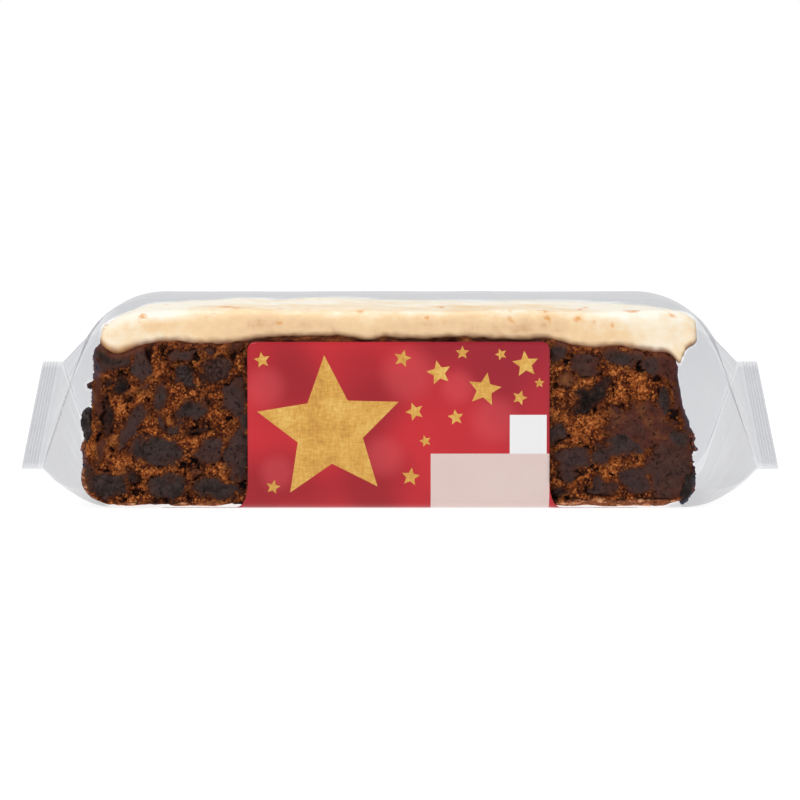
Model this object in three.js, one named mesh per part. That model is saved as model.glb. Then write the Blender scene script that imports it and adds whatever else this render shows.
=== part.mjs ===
// A bar of iced fruit cake, sealed in a clear flow-wrap film.
//
// The sealed pack is one closed solid, out to the film. The film is drawn into a square tube round
// the cake. Beyond the cake's ends it tapers, tucks in at the front and the back, and closes in a
// flat crimped seal. Both seals lie tilted, with the front end low and the back end high.
//
// Millimetres. X runs along the bar, the front faces -Y, +Z is up. The origin is in the middle of
// the flat underside.

import * as THREE from "three";

// The square tube round the cake.
const PACK_LENGTH = 185.6;
const PACK_DEPTH = 52;
const PACK_HEIGHT = 51.5;
const EDGE_RADIUS = 5;
const EDGE_RADIUS_AT_SEAL = 0.9;

// The end seals: a band of two welded sheets, pressed into ridges along its outer part.
const SEAL_BAND = 5;
const SEAL_TILT = THREE.MathUtils.degToRad(26.3);
const SEAL_FRONT_Z = 9.8;
const SEAL_THICK = 0.8;
const RIDGE_COUNT = 5;
const RIDGE_BAND = 3.7;
const RIDGE_DEPTH = 0.18;

// How each long edge of the tube leaves the straight and bends over to the seal: where along X the
// bend starts, and its radius.
const FRONT_TOP_BEND = { start: 61, radius: 18 };
const BACK_TOP_BEND = { start: 60.5, radius: 24.5 };
const FRONT_BOTTOM_BEND = { start: 69.5, radius: 22 };
const BACK_BOTTOM_BEND = { start: 70, radius: 10 };

// Where the tube's rounded edges start to sharpen into folds, and the share of a face that one
// rounded edge may take.
const EDGE_TAPER_START = 66;
const MOST_ROUNDED = 0.45;

// The tuck pressed into the front and back walls beside each seal.
const TUCK_DEPTH = 7;
const TUCK_START = 78;

// How finely the surface is divided.
const TAPER_STEPS = 16;
const CORNER_POINTS = 5;
const FACE_POINTS = 4;

const HALF_LENGTH = PACK_LENGTH / 2;
const HALF_DEPTH = PACK_DEPTH / 2;
const SEAL_START = HALF_LENGTH - SEAL_BAND;
const SEAL_HALF_DEPTH = HALF_DEPTH * Math.cos(SEAL_TILT);
const SEAL_BACK_Z = SEAL_FRONT_Z + PACK_DEPTH * Math.sin(SEAL_TILT);
const TAPER_START = Math.min(
  FRONT_TOP_BEND.start,
  BACK_TOP_BEND.start,
  FRONT_BOTTOM_BEND.start,
  BACK_BOTTOM_BEND.start,
);

// How far an edge has moved from the straight at a distance along X: an arc of the bend's radius
// that starts level, then a straight line to the seal.
function bendOffset(along, bend, offsetAtSeal) {
  const run = SEAL_START - bend.start;
  const toCentre = Math.hypot(run, bend.radius - offsetAtSeal);
  const turn =
    Math.atan2(run, bend.radius - offsetAtSeal) - Math.acos(bend.radius / toCentre);
  const past = THREE.MathUtils.clamp(along - bend.start, 0, run);
  const arcRun = bend.radius * Math.sin(turn);
  if (past <= arcRun) {
    return bend.radius - Math.sqrt(bend.radius ** 2 - past ** 2);
  }
  return bend.radius * (1 - Math.cos(turn)) + (past - arcRun) * Math.tan(turn);
}

// The four corners of the section at a distance along X, as [depth, height], anticlockwise from
// the front of the underside when seen from the +X end.
function sectionCorners(along) {
  const narrowing = THREE.MathUtils.smoothstep(along, TAPER_START, SEAL_START);
  const halfDepth = THREE.MathUtils.lerp(HALF_DEPTH, SEAL_HALF_DEPTH, narrowing);
  const half = SEAL_THICK / 2;
  const frontTop = bendOffset(along, FRONT_TOP_BEND, PACK_HEIGHT - SEAL_FRONT_Z - half);
  const backTop = bendOffset(along, BACK_TOP_BEND, PACK_HEIGHT - SEAL_BACK_Z - half);
  const frontBottom = bendOffset(along, FRONT_BOTTOM_BEND, SEAL_FRONT_Z - half);
  const backBottom = bendOffset(along, BACK_BOTTOM_BEND, SEAL_BACK_Z - half);
  return [
    new THREE.Vector2(-halfDepth, frontBottom),
    new THREE.Vector2(halfDepth, backBottom),
    new THREE.Vector2(halfDepth, PACK_HEIGHT - backTop),
    new THREE.Vector2(-halfDepth, PACK_HEIGHT - frontTop),
  ];
}

// How deep the front and back walls are pressed in at a distance along X.
function tuckDepth(along) {
  if (along <= TUCK_START || along >= SEAL_START) {
    return 0;
  }
  const through = (along - TUCK_START) / (SEAL_START - TUCK_START);
  return TUCK_DEPTH * Math.sin(Math.PI * through) ** 2;
}

// The closed outline of the section at a distance along X: rounded corners, with points along the
// four faces between them.
function sectionOutline(along) {
  const corners = sectionCorners(along);
  const tuck = tuckDepth(along);
  const sharpening = THREE.MathUtils.smoothstep(along, EDGE_TAPER_START, SEAL_START);
  const radius = THREE.MathUtils.lerp(EDGE_RADIUS, EDGE_RADIUS_AT_SEAL, sharpening);
  const points = [];
  corners.forEach((corner, index) => {
    const before = corners[(index + 3) % 4];
    const after = corners[(index + 1) % 4];
    const beyond = corners[(index + 2) % 4];
    const reachBefore = Math.min(radius, MOST_ROUNDED * corner.distanceTo(before));
    const reachAfter = Math.min(radius, MOST_ROUNDED * corner.distanceTo(after));
    const entry = corner.clone().lerp(before, reachBefore / corner.distanceTo(before));
    const exit = corner.clone().lerp(after, reachAfter / corner.distanceTo(after));
    const round = new THREE.QuadraticBezierCurve(entry, corner, exit);
    points.push(...round.getPoints(CORNER_POINTS - 1));

    const next = after.clone().lerp(corner, reachAfter / after.distanceTo(corner));
    const isWall = index % 2 === 1;
    for (let step = 1; step <= FACE_POINTS; step += 1) {
      const through = step / (FACE_POINTS + 1);
      const point = exit.clone().lerp(next, through);
      if (isWall) {
        const inward = Math.sign(beyond.x - corner.x);
        point.x += inward * tuck * Math.sin(Math.PI * through);
      }
      points.push(point);
    }
  });
  return points;
}

// The height that the pressed ridges add to both sheets at a distance along X.
function ridgeHeight(along) {
  const past = along - (HALF_LENGTH - RIDGE_BAND);
  if (past <= 0) {
    return 0;
  }
  return RIDGE_DEPTH * Math.sin((2 * Math.PI * RIDGE_COUNT * past) / RIDGE_BAND);
}

// Distances along X at which one end has a section, from the straight tube out to the seal's edge.
function endStations() {
  const stations = [];
  for (let step = 0; step <= TAPER_STEPS; step += 1) {
    const through = Math.sin((Math.PI / 2) * (step / TAPER_STEPS));
    stations.push(THREE.MathUtils.lerp(TAPER_START, SEAL_START, through));
  }
  const ridgeSteps = RIDGE_COUNT * 4;
  for (let step = 0; step <= ridgeSteps; step += 1) {
    stations.push(HALF_LENGTH - RIDGE_BAND + (RIDGE_BAND * step) / ridgeSteps);
  }
  return stations;
}

// A closed surface through the sections of both ends, capped with a fan at each outer edge.
function packGeometry() {
  const end = endStations();
  const stations = [...end.map((along) => -along).reverse(), ...end];
  const positions = [];
  stations.forEach((x) => {
    const along = Math.abs(x);
    const lift = ridgeHeight(along);
    sectionOutline(along).forEach((point) => positions.push(x, point.x, point.y + lift));
  });
  const count = positions.length / 3 / stations.length;
  const indices = [];
  for (let station = 0; station < stations.length - 1; station += 1) {
    for (let point = 0; point < count; point += 1) {
      const here = station * count + point;
      const beside = station * count + ((point + 1) % count);
      indices.push(here, beside, here + count);
      indices.push(beside, beside + count, here + count);
    }
  }
  const last = (stations.length - 1) * count;
  for (let point = 1; point < count - 1; point += 1) {
    indices.push(0, point + 1, point);
    indices.push(last, last + point, last + point + 1);
  }
  const geometry = new THREE.BufferGeometry();
  geometry.setAttribute("position", new THREE.Float32BufferAttribute(positions, 3));
  geometry.setIndex(indices);
  geometry.computeVertexNormals();
  return geometry;
}

const clearFilm = new THREE.MeshStandardMaterial({
  color: 0xd6d8dc,
  roughness: 0.18,
  metalness: 0,
});

const pack = new THREE.Mesh(packGeometry(), clearFilm);
pack.name = "film_pack";

const icedFruitCakePack = new THREE.Group();
icedFruitCakePack.add(pack);

export default icedFruitCakePack;
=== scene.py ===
# %% [markdown]
# # A bar of iced fruit cake in its clear film
# The real thing is a dark, moist slab of fruit cake under soft icing. It is drawn into a tube of
# clear film, printed in front, below and behind, and welded shut at both ends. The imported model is
# one closed solid out to the film. This file keeps that form and looks inside it: film, print,
# cake, dried fruit, crumbs and icing are meshes of their own, worked out in millimetres.

# %% Load the frame
import math

import bmesh
import bpy
import numpy as np
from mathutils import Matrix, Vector
from mathutils.geometry import delaunay_2d_cdt


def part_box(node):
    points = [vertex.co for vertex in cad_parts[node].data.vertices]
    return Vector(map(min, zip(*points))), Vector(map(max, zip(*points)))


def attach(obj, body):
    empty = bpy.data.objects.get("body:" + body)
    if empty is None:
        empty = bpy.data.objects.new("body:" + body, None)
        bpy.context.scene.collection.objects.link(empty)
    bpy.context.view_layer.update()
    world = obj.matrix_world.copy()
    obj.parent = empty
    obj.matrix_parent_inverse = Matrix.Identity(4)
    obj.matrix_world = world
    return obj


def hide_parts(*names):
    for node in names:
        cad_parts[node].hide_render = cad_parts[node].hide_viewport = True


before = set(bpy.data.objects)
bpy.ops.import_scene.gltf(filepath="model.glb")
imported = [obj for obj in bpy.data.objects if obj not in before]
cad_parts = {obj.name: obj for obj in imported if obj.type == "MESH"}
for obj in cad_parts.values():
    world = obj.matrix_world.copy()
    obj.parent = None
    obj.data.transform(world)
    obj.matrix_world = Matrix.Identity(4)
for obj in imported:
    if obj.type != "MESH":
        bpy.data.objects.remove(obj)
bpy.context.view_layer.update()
MM = 0.001
pack_low, pack_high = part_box("film_pack")
PACK_LENGTH, PACK_DEPTH, PACK_HEIGHT = [size / MM for size in pack_high - pack_low]
print(f"pack {PACK_LENGTH:.1f} x {PACK_DEPTH:.1f} x {PACK_HEIGHT:.1f} mm")

# %% [markdown]
# ## The camera
# The pack was photographed from in front and a little above, with a long lens. The far end of each
# seal is drawn 6% smaller than the near end, which gives the distance. A camera could also be
# matched by eye, but two sizes that the picture shows settle it: that 6%, and 4.1 pixels for each
# millimetre at the front of the pack.

# %% Place the camera
CAMERA_DISTANCE = 760.0
CAMERA_ELEVATION = math.radians(4.5)
CAMERA_TARGET_Z = 24.8
IMAGE_WIDTH = 800
PIXELS_PER_MM = 4.1
SENSOR_WIDTH = 36.0

focal_pixels = PIXELS_PER_MM * (CAMERA_DISTANCE - PACK_DEPTH / 2)
camera_data = bpy.data.cameras.new("camera")
camera_data.sensor_width = SENSOR_WIDTH
camera_data.lens = focal_pixels / IMAGE_WIDTH * SENSOR_WIDTH
camera = bpy.data.objects.new("camera", camera_data)
CAMERA_Y = -CAMERA_DISTANCE * math.cos(CAMERA_ELEVATION)
CAMERA_Z = CAMERA_TARGET_Z + CAMERA_DISTANCE * math.sin(CAMERA_ELEVATION)
camera.location = Vector((0.0, CAMERA_Y, CAMERA_Z)) * MM
camera.rotation_euler = (math.pi / 2 - CAMERA_ELEVATION, 0.0, 0.0)
bpy.context.scene.collection.objects.link(camera)
bpy.context.scene.camera = camera
print(f"lens {camera_data.lens:.0f} mm")

# %% [markdown]
# ## Repeatable unevenness
# Cake is uneven at every size, from lumps down to grains. Blender's textures could push the surface
# about, but then nothing else would know where a grain or a hole lies. So the unevenness comes from
# two small fields written with numpy, which give one value for each point of space: smooth noise
# for lumps, and cells round scattered centres for grains. The same point always gets the same
# value, and colours can be worked out from the same cells as the relief. The last number of each
# call is a seed: another one gives another pattern of the same kind.

# %% Fields of noise and grains
HASH_FACTORS = (73856093, 19349663, 83492791)
HASH_SEED_FACTOR = 40503
HASH_MIXERS = (1274126177, 668265263)
MASK = 0xFFFFFFFF
LUMP_GAIN = 1.9


def chance(cell, seed):
    """A repeatable number from 0 to 1 for each whole-numbered cell."""
    mixed = np.full(len(cell), (seed * HASH_SEED_FACTOR) & MASK, dtype=np.int64)
    for axis, factor in enumerate(HASH_FACTORS):
        mixed ^= (cell[:, axis] * factor) & MASK
    for mixer in HASH_MIXERS:
        mixed = ((mixed ^ (mixed >> 15)) * mixer) & MASK
    return (mixed ^ (mixed >> 16)) / MASK


def smooth(value, low, high):
    """0 below low, 1 above high and an eased step between them."""
    part = np.clip((value - low) / (high - low), 0.0, 1.0)
    return part * part * (3.0 - 2.0 * part)


def lumps(points, size, seed):
    """Smooth noise from about -1 to 1 whose lumps are about size across."""
    scaled = points / size
    cell = np.floor(scaled).astype(np.int64)
    offset = scaled - cell
    ease = smooth(offset, 0.0, 1.0)
    total = np.zeros(len(points))
    for corner in np.ndindex(2, 2, 2):
        weight = np.prod(np.where(corner, ease, 1.0 - ease), axis=1)
        for axis in range(3):
            slope = 2.0 * chance(cell + corner, seed * 8 + axis) - 1.0
            total += weight * slope * (offset[:, axis] - corner[axis])
    return LUMP_GAIN * total


def rough_lumps(points, size, finer_size, seed):
    """Lumps with finer ones, half as strong, laid over them."""
    return lumps(points, size, seed) + 0.5 * lumps(points, finer_size, seed + 1)


def grains(points, size, seed):
    """Distance to the nearest grain's middle, in grains, and that grain's own number from 0 to 1."""
    scaled = points / size
    cell = np.floor(scaled).astype(np.int64)
    nearest = np.full(len(points), np.inf)
    number = np.zeros(len(points))
    for step in np.ndindex(3, 3, 3):
        home = cell + step - 1
        middle = home + np.stack([chance(home, seed + axis) for axis in range(3)], axis=1)
        gap = np.linalg.norm(scaled - middle, axis=1)
        closer = gap < nearest
        number = np.where(closer, chance(home, seed + 3), number)
        nearest = np.where(closer, gap, nearest)
    return nearest, number


trial_points = np.array([[0.5, 0.0, 0.0], [0.0, 0.7, 0.0], [1.0, 1.0, 0.9]])
print("lumps at three points:", np.round(lumps(trial_points, 2.0, 1), 2))

# %% A smooth line through stops
def through(stops, at):
    """A smooth line through (place, value) stops, whose slope at a stop comes from its neighbours."""
    places, values = np.array(stops, dtype=float).T
    slopes = np.gradient(values, places)
    at = np.clip(at, places[0], places[-1])
    left = np.clip(np.searchsorted(places, at, side="right") - 1, 0, len(places) - 2)
    width = places[left + 1] - places[left]
    t = (at - places[left]) / width
    return (
        (2 * t**3 - 3 * t**2 + 1) * values[left]
        + (t**3 - 2 * t**2 + t) * width * slopes[left]
        + (3 * t**2 - 2 * t**3) * values[left + 1]
        + (t**3 - t**2) * width * slopes[left + 1]
    )


print("halfway up a bend:", np.round(through([(0, 0), (1, 1), (2, 1)], np.array([0.5, 1.5])), 2))

# %% [markdown]
# ## Shader maths as sums
# A finish is a network of nodes. Built by hand, each sum or product is several lines of code. The
# class below wraps an output socket, so that `1 - mask * 0.5` adds its Math nodes by itself. Any
# other node comes from one method, `add`, which sets the node up and joins its inputs.

# %% The node workshop
# A Mix node has sockets for several types of value. These are its colour sockets, by number.
FIRST_COLOUR, SECOND_COLOUR, MIXED_COLOUR = 6, 7, 2


class Wire:
    """An output socket that can be added, subtracted and multiplied, also with plain numbers."""

    def __init__(self, finish, socket):
        self.finish = finish
        self.socket = socket

    def maths(self, operation, *values):
        inputs = dict(enumerate(values))
        return self.finish.add("ShaderNodeMath", {"operation": operation}, inputs)

    def __add__(self, other):
        return self.maths("ADD", self, other)

    def __radd__(self, other):
        return self.maths("ADD", other, self)

    def __sub__(self, other):
        return self.maths("SUBTRACT", self, other)

    def __rsub__(self, other):
        return self.maths("SUBTRACT", other, self)

    def __mul__(self, other):
        return self.maths("MULTIPLY", self, other)

    def __rmul__(self, other):
        return self.maths("MULTIPLY", other, self)

    def step(self, low, high):
        """0 below low, 1 above high, eased between them."""
        inputs = {"Value": self, "From Min": low, "From Max": high}
        return self.finish.add("ShaderNodeMapRange", {"interpolation_type": "SMOOTHSTEP"}, inputs)

# %% The workshop for one finish
class Finish:
    """One material and the nodes that make it."""

    def __init__(self, name):
        self.material = bpy.data.materials.new(name)
        self.material.use_nodes = True
        self.tree = self.material.node_tree
        self.tree.nodes.clear()
        self.place = self.add("ShaderNodeTexCoord", output="Object")

    def add(self, kind, settings=None, inputs=None, output=0):
        """Adds a node: its settings first, then values or wires for its inputs."""
        node = self.tree.nodes.new(kind)
        for name, value in (settings or {}).items():
            if name == "stops":
                self.set_stops(node.color_ramp, value)
            else:
                setattr(node, name, value)
        for name, value in (inputs or {}).items():
            if isinstance(value, Wire):
                self.tree.links.new(value.socket, node.inputs[name])
            else:
                node.inputs[name].default_value = value
        return None if output is None else Wire(self, node.outputs[output])

    def set_stops(self, ramp, stops):
        """Gives a colour ramp its stops, adding those that it lacks."""
        while len(ramp.elements) < len(stops):
            ramp.elements.new(1.0)
        for element, (position, colour) in zip(ramp.elements, stops):
            element.position = position
            element.color = (*colour, 1.0)

    def noise(self, size_mm, detail=2.0, roughness=0.5, stretch=None):
        """Noise from 0 to 1 with lumps of about size_mm."""
        place = self.place
        if stretch is not None:
            place = self.add("ShaderNodeVectorMath", {"operation": "MULTIPLY"}, {0: place, 1: stretch})
        inputs = {"Vector": place, "Scale": 1.0 / (size_mm * MM), "Detail": detail, "Roughness": roughness}
        return self.add("ShaderNodeTexNoise", {"normalize": True}, inputs)

    def mix(self, share, first, second):
        """A colour between two colours, each a wire or three numbers."""
        inputs = {"Factor": share, FIRST_COLOUR: first, SECOND_COLOUR: second}
        for slot in (FIRST_COLOUR, SECOND_COLOUR):
            if isinstance(inputs[slot], tuple):
                inputs[slot] = (*inputs[slot], 1.0)
        return self.add("ShaderNodeMix", {"data_type": "RGBA"}, inputs, output=MIXED_COLOUR)

    def ramp(self, value, stops):
        """A colour read off a row of (position, colour) stops."""
        return self.add("ShaderNodeValToRGB", {"stops": stops}, {"Fac": value})

    def attribute(self, name):
        """A mark that the mesh holds at its points."""
        return self.add("ShaderNodeAttribute", {"attribute_name": name}, output="Fac")

    def along(self, axis):
        """How far a point lies along the axis "X", "Y" or "Z", in metres."""
        return self.add("ShaderNodeSeparateXYZ", None, {"Vector": self.place}, output=axis)

    def bump(self, height, distance_mm):
        """A direction for the Normal socket, as if the surface had this height on it."""
        return self.add("ShaderNodeBump", None, {"Height": height, "Distance": distance_mm * MM})

    def gloss(self, **inputs):
        """A Principled shader: words joined by _ stand for the sockets' names."""
        named = {name.replace("_", " "): value for name, value in inputs.items()}
        return self.add("ShaderNodeBsdfPrincipled", None, named)

    def finish_with(self, shader):
        """Joins the shader to the material's output, and gives the material."""
        self.add("ShaderNodeOutputMaterial", None, {"Surface": shader}, output=None)
        return self.material

# %% Colours by their look
def ink(red, green, blue):
    """A colour as it looks on screen, 0 to 255, turned into the light that a shader works with."""
    # The numbers below are those of the sRGB curve.
    scaled = np.array([red, green, blue]) / 255.0
    light = np.where(scaled <= 0.04045, scaled / 12.92, ((scaled + 0.055) / 1.055) ** 2.4)
    return tuple(float(part) for part in light)


print("cream as light:", [round(part, 3) for part in ink(251, 233, 205)])

# %% [markdown]
# ## Lines taken from the photograph
# The contents aren't square: the slab's ends lean and bulge, and the icing's top and lower edge
# rise and fall. Six lines hold this, in millimetres on the pack's front. The cake and the icing are
# built on them, and the film reads them too, because it is clear where it lies on the contents and
# greyer where it stands free. They could be drawn as curves, but lists are easier to correct.

# %% Note the lines of the contents
LEFT_END = [
    (0.0, -71.5), (1.2, -73.0), (2.5, -75.3), (5.0, -77.5), (8.0, -78.0), (10.9, -77.3),
    (13.5, -76.4), (16.0, -75.7), (20.0, -75.5), (24.0, -75.4), (31.0, -75.1), (35.0, -75.0),
    (38.0, -74.9), (39.6, -74.2), (40.8, -73.0), (46.0, -72.4),
]
# The left end as it is seen, with the whole fruit that sticks out of it.
LEFT_SEEN = [
    (0.0, -71.5), (1.2, -73.0), (2.5, -75.3), (5.0, -77.5), (8.0, -78.0), (10.9, -77.4),
    (13.5, -77.6), (15.5, -78.1), (17.0, -78.1), (20.5, -78.5), (24.0, -78.0), (25.6, -76.0),
    (29.0, -75.5), (29.7, -76.9), (31.2, -76.9), (31.9, -75.3), (38.0, -74.9), (39.6, -74.2),
    (40.8, -73.0), (46.0, -72.4),
]
RIGHT_END = [
    (0.0, 66.0), (1.3, 67.0), (2.1, 69.6), (3.3, 71.1), (5.3, 72.2), (8.5, 72.5), (11.5, 72.1),
    (13.6, 72.0), (14.6, 72.9), (15.6, 71.9), (17.0, 72.2), (20.2, 70.8), (25.0, 69.3), (32.0, 68.2),
    (38.5, 67.6), (46.0, 67.2),
]
ICING_EDGE = [
    (-73.1, 40.3), (-72.6, 39.8), (-71.0, 38.6), (-69.1, 38.0), (-67.0, 38.5), (-65.0, 39.4),
    (-61.0, 40.5), (-54.0, 41.0), (-49.0, 40.5), (-43.0, 40.6), (-38.0, 41.1), (-32.0, 41.9),
    (-24.6, 42.1), (-12.4, 42.0), (-7.5, 41.2), (-3.8, 42.0), (0.0, 41.7), (7.2, 41.6),
    (13.3, 42.0), (21.9, 41.6), (29.2, 41.3), (36.6, 41.6), (41.5, 40.3), (46.4, 39.6),
    (53.7, 39.9), (58.6, 39.1), (62.3, 38.5), (65.6, 38.1), (66.9, 37.0),
    (67.8, 35.6), (68.5, 35.4), (69.1, 37.0), (69.8, 38.8), (70.7, 39.6), (71.7, 40.0), (72.5, 40.9),
]
ICING_FRONT = [
    (-73.3, 41.6), (-72.9, 43.7), (-71.6, 45.4), (-68.6, 47.3), (-65.0, 48.1), (-60.0, 48.5),
    (-20.0, 48.6), (20.0, 48.5), (60.0, 48.5), (66.0, 48.6), (69.1, 48.3), (70.8, 47.5),
    (71.9, 46.2), (72.4, 44.9), (72.5, 43.0),
]
ICING_BACK = [
    (-73.3, 41.6), (-72.6, 43.4), (-70.5, 45.6), (-68.0, 47.0), (-65.0, 48.2), (-61.0, 48.6),
    (-54.6, 48.9), (-48.0, 49.2), (-41.6, 49.8), (-36.0, 49.7), (-31.2, 49.4), (-22.0, 49.8),
    (-14.4, 50.0), (-6.0, 49.4), (2.5, 49.0), (12.8, 49.2), (25.8, 49.0), (36.2, 49.2),
    (46.5, 49.0), (56.9, 48.3), (64.7, 47.4), (68.4, 46.6), (71.0, 45.6), (72.2, 44.4), (72.5, 43.0),
]
ICING_LEFT, ICING_RIGHT = ICING_BACK[0][0], ICING_BACK[-1][0]
print("icing from", ICING_LEFT, "to", ICING_RIGHT)

# %% [markdown]
# ## From arrays to pieces
# Every piece below is worked out as arrays of points and faces. It could also be modelled by hand,
# or with modifiers, but uneven food follows from its fields more easily than from strokes, and the
# same run always gives the same piece. One helper turns the arrays into a Blender object, gives it
# its finishes and its marks, and hangs it on the pack's only body.

# %% Make a piece from arrays
def closed_grid(rows, columns, start=0):
    """Four-sided faces between rows of points that run round a closed loop."""
    row, column = np.meshgrid(np.arange(rows - 1), np.arange(columns), indexing="ij")
    here = start + row * columns + column
    beside = start + row * columns + (column + 1) % columns
    return np.stack([here, beside, beside + columns, here + columns], axis=-1).reshape(-1, 4)


def end_faces(rows, columns, start=0):
    """The two faces that close such a grid at its first and its last row."""
    first = list(range(start, start + columns))
    last = [point + (rows - 1) * columns for point in first]
    return [first[::-1], last]


def make_piece(name, points, faces, finishes, marks=None, finish_of_face=None):
    """An object from points in millimetres, with its finishes and its marks at each point."""
    mesh = bpy.data.meshes.new(name)
    mesh.from_pydata((np.asarray(points) * MM).tolist(), [], faces)
    for finish in finishes:
        mesh.materials.append(finish)
    if finish_of_face is not None:
        mesh.polygons.foreach_set("material_index", np.asarray(finish_of_face, dtype=np.int32))
    mesh.polygons.foreach_set("use_smooth", np.ones(len(mesh.polygons), dtype=bool))
    for mark, values in (marks or {}).items():
        layer = mesh.attributes.new(mark, "FLOAT", "POINT")
        layer.data.foreach_set("value", np.asarray(values, dtype=np.float32))
    mesh.update()
    piece = bpy.data.objects.new(name, mesh)
    bpy.context.scene.collection.objects.link(piece)
    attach(piece, "root")
    triangles = sum(len(face) - 2 for face in faces)
    print(f"{name}: {len(points)} points, {triangles} triangles")
    return piece

# %% [markdown]
# ## The film's sections
# The film is a square tube with soft edges. Beyond the cake its four long edges bend over towards a
# flat weld, the walls tuck in and the edges sharpen to folds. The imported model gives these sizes,
# and they are repeated here, because the film has to keep the same form. It has far more points
# here, so that its slow unevenness, its gathers and the ridges of the weld can be real surface.

# %% Note the film's sizes
EDGE_RADIUS = 5.0
EDGE_RADIUS_AT_SEAL = 0.9
EDGE_TAPER_START = 66.0
MOST_ROUNDED = 0.45
SEAL_BAND = 5.0
SEAL_TILT = math.radians(26.3)
SEAL_FRONT_Z = 9.8
SEAL_THICK = 0.8
RIDGE_COUNT = 5
RIDGE_BAND = 3.7
RIDGE_DEPTH = 0.18
TUCK_DEPTH = 7.0
TUCK_START = 78.0
FRONT_TOP_BEND = (61.0, 18.0)
BACK_TOP_BEND = (60.5, 24.5)
FRONT_BOTTOM_BEND = (69.5, 22.0)
BACK_BOTTOM_BEND = (70.0, 10.0)
CORNER_POINTS = 13
FACE_POINTS = 39
# Which way each wall tucks in, from the underside round to the front: only back and front do.
TUCK_WAYS = (0.0, -1.0, 0.0, 1.0)

HALF_LENGTH = PACK_LENGTH / 2
HALF_DEPTH = PACK_DEPTH / 2
SEAL_START = HALF_LENGTH - SEAL_BAND
SEAL_BACK_Z = SEAL_FRONT_Z + PACK_DEPTH * math.sin(SEAL_TILT)
TAPER_START = min(FRONT_TOP_BEND[0], BACK_TOP_BEND[0])
print(f"welds start {SEAL_START:.1f} mm from the middle, and rise to {SEAL_BACK_Z:.1f} mm at the back")

# %% Work out one section of the film
def bend_offset(along, bend, offset_at_seal):
    """How far a long edge has left the straight: an arc that starts level, then a line."""
    start, radius = bend
    run = SEAL_START - start
    to_centre = math.hypot(run, radius - offset_at_seal)
    turn = math.atan2(run, radius - offset_at_seal) - math.acos(radius / to_centre)
    past = np.clip(along - start, 0.0, run)
    arc_run = radius * math.sin(turn)
    arc = radius - np.sqrt(radius**2 - np.minimum(past, arc_run) ** 2)
    return arc + np.maximum(past - arc_run, 0.0) * math.tan(turn)


def section_corners(along):
    """The four corners of each section as (depth, height), from the front of the underside."""
    narrowing = smooth(along, TAPER_START, SEAL_START)
    half_depth = HALF_DEPTH * (1.0 - narrowing * (1.0 - math.cos(SEAL_TILT)))
    half = SEAL_THICK / 2
    front_low = bend_offset(along, FRONT_BOTTOM_BEND, SEAL_FRONT_Z - half)
    back_low = bend_offset(along, BACK_BOTTOM_BEND, SEAL_BACK_Z - half)
    back_high = PACK_HEIGHT - bend_offset(along, BACK_TOP_BEND, PACK_HEIGHT - SEAL_BACK_Z - half)
    front_high = PACK_HEIGHT - bend_offset(along, FRONT_TOP_BEND, PACK_HEIGHT - SEAL_FRONT_Z - half)
    depths = [-half_depth, half_depth, half_depth, -half_depth]
    heights = [front_low, back_low, back_high, front_high]
    return [np.stack([y, z], axis=1) for y, z in zip(depths, heights)]


def film_sections(x):
    """Points round the film at each x: an array of stations by points by (x, y, z)."""
    along = np.abs(x)
    corners = section_corners(along)
    into_tuck = np.clip((along - TUCK_START) / (SEAL_START - TUCK_START), 0.0, 1.0)
    tuck = TUCK_DEPTH * np.sin(np.pi * into_tuck) ** 2
    sharpening = smooth(along, EDGE_TAPER_START, SEAL_START)
    radius = EDGE_RADIUS + (EDGE_RADIUS_AT_SEAL - EDGE_RADIUS) * sharpening
    rings = []
    for index, corner in enumerate(corners):
        before = corners[(index + 3) % 4]
        after = corners[(index + 1) % 4]
        to_before = np.linalg.norm(before - corner, axis=1)
        to_after = np.linalg.norm(after - corner, axis=1)
        share_before = (np.minimum(radius, MOST_ROUNDED * to_before) / to_before)[:, None]
        share_after = (np.minimum(radius, MOST_ROUNDED * to_after) / to_after)[:, None]
        entry = corner + (before - corner) * share_before
        leave = corner + (after - corner) * share_after
        for t in np.linspace(0.0, 1.0, CORNER_POINTS):
            rings.append((1 - t) ** 2 * entry + 2 * t * (1 - t) * corner + t**2 * leave)
        next_entry = after + (corner - after) * share_after
        for t in np.linspace(0.0, 1.0, FACE_POINTS + 2)[1:-1]:
            point = leave + (next_entry - leave) * t
            point[:, 0] += TUCK_WAYS[index] * tuck * math.sin(math.pi * t)
            rings.append(point)
    ring = np.stack(rings, axis=1)
    past = along - (HALF_LENGTH - RIDGE_BAND)
    ridge = RIDGE_DEPTH * np.sin(2 * np.pi * RIDGE_COUNT * past / RIDGE_BAND) * (past > 0)
    ring[:, :, 1] += ridge[:, None]
    wide = np.broadcast_to(x[:, None, None], (*ring.shape[:2], 1))
    return np.concatenate([wide, ring], axis=2)


print("points round one section:", film_sections(np.array([0.0])).shape[1])

# %% [markdown]
# ## Soft film
# Film that is only drawn round food is never quite flat. It sinks a little between the places that
# hold it out, and close to a weld it gathers into shallow pleats that fan out from it. A cloth
# simulation could give such folds, but the photographed film is taut and its unevenness is well
# under a millimetre, so two slow fields of noise are enough. They press the film inwards only.

# %% Lay out the film's surface
MIDDLE_STEP = 2.5
TAPER_STEP = 0.6
RIDGE_STEPS = 8
SAG_SIZE = 17.0
SAG_DEPTH = 0.22
PLEAT_START = 66.0
PLEAT_FULL = 80.0
PLEAT_WIDTH = 2.6
PLEAT_LENGTH = 26.0
PLEAT_DEPTH = 0.5
PLEAT_FADE, SAG_FADE, FLOOR_FADE = 1.5, 4.0, 3.0
NOT_ZERO = 1e-9


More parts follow.
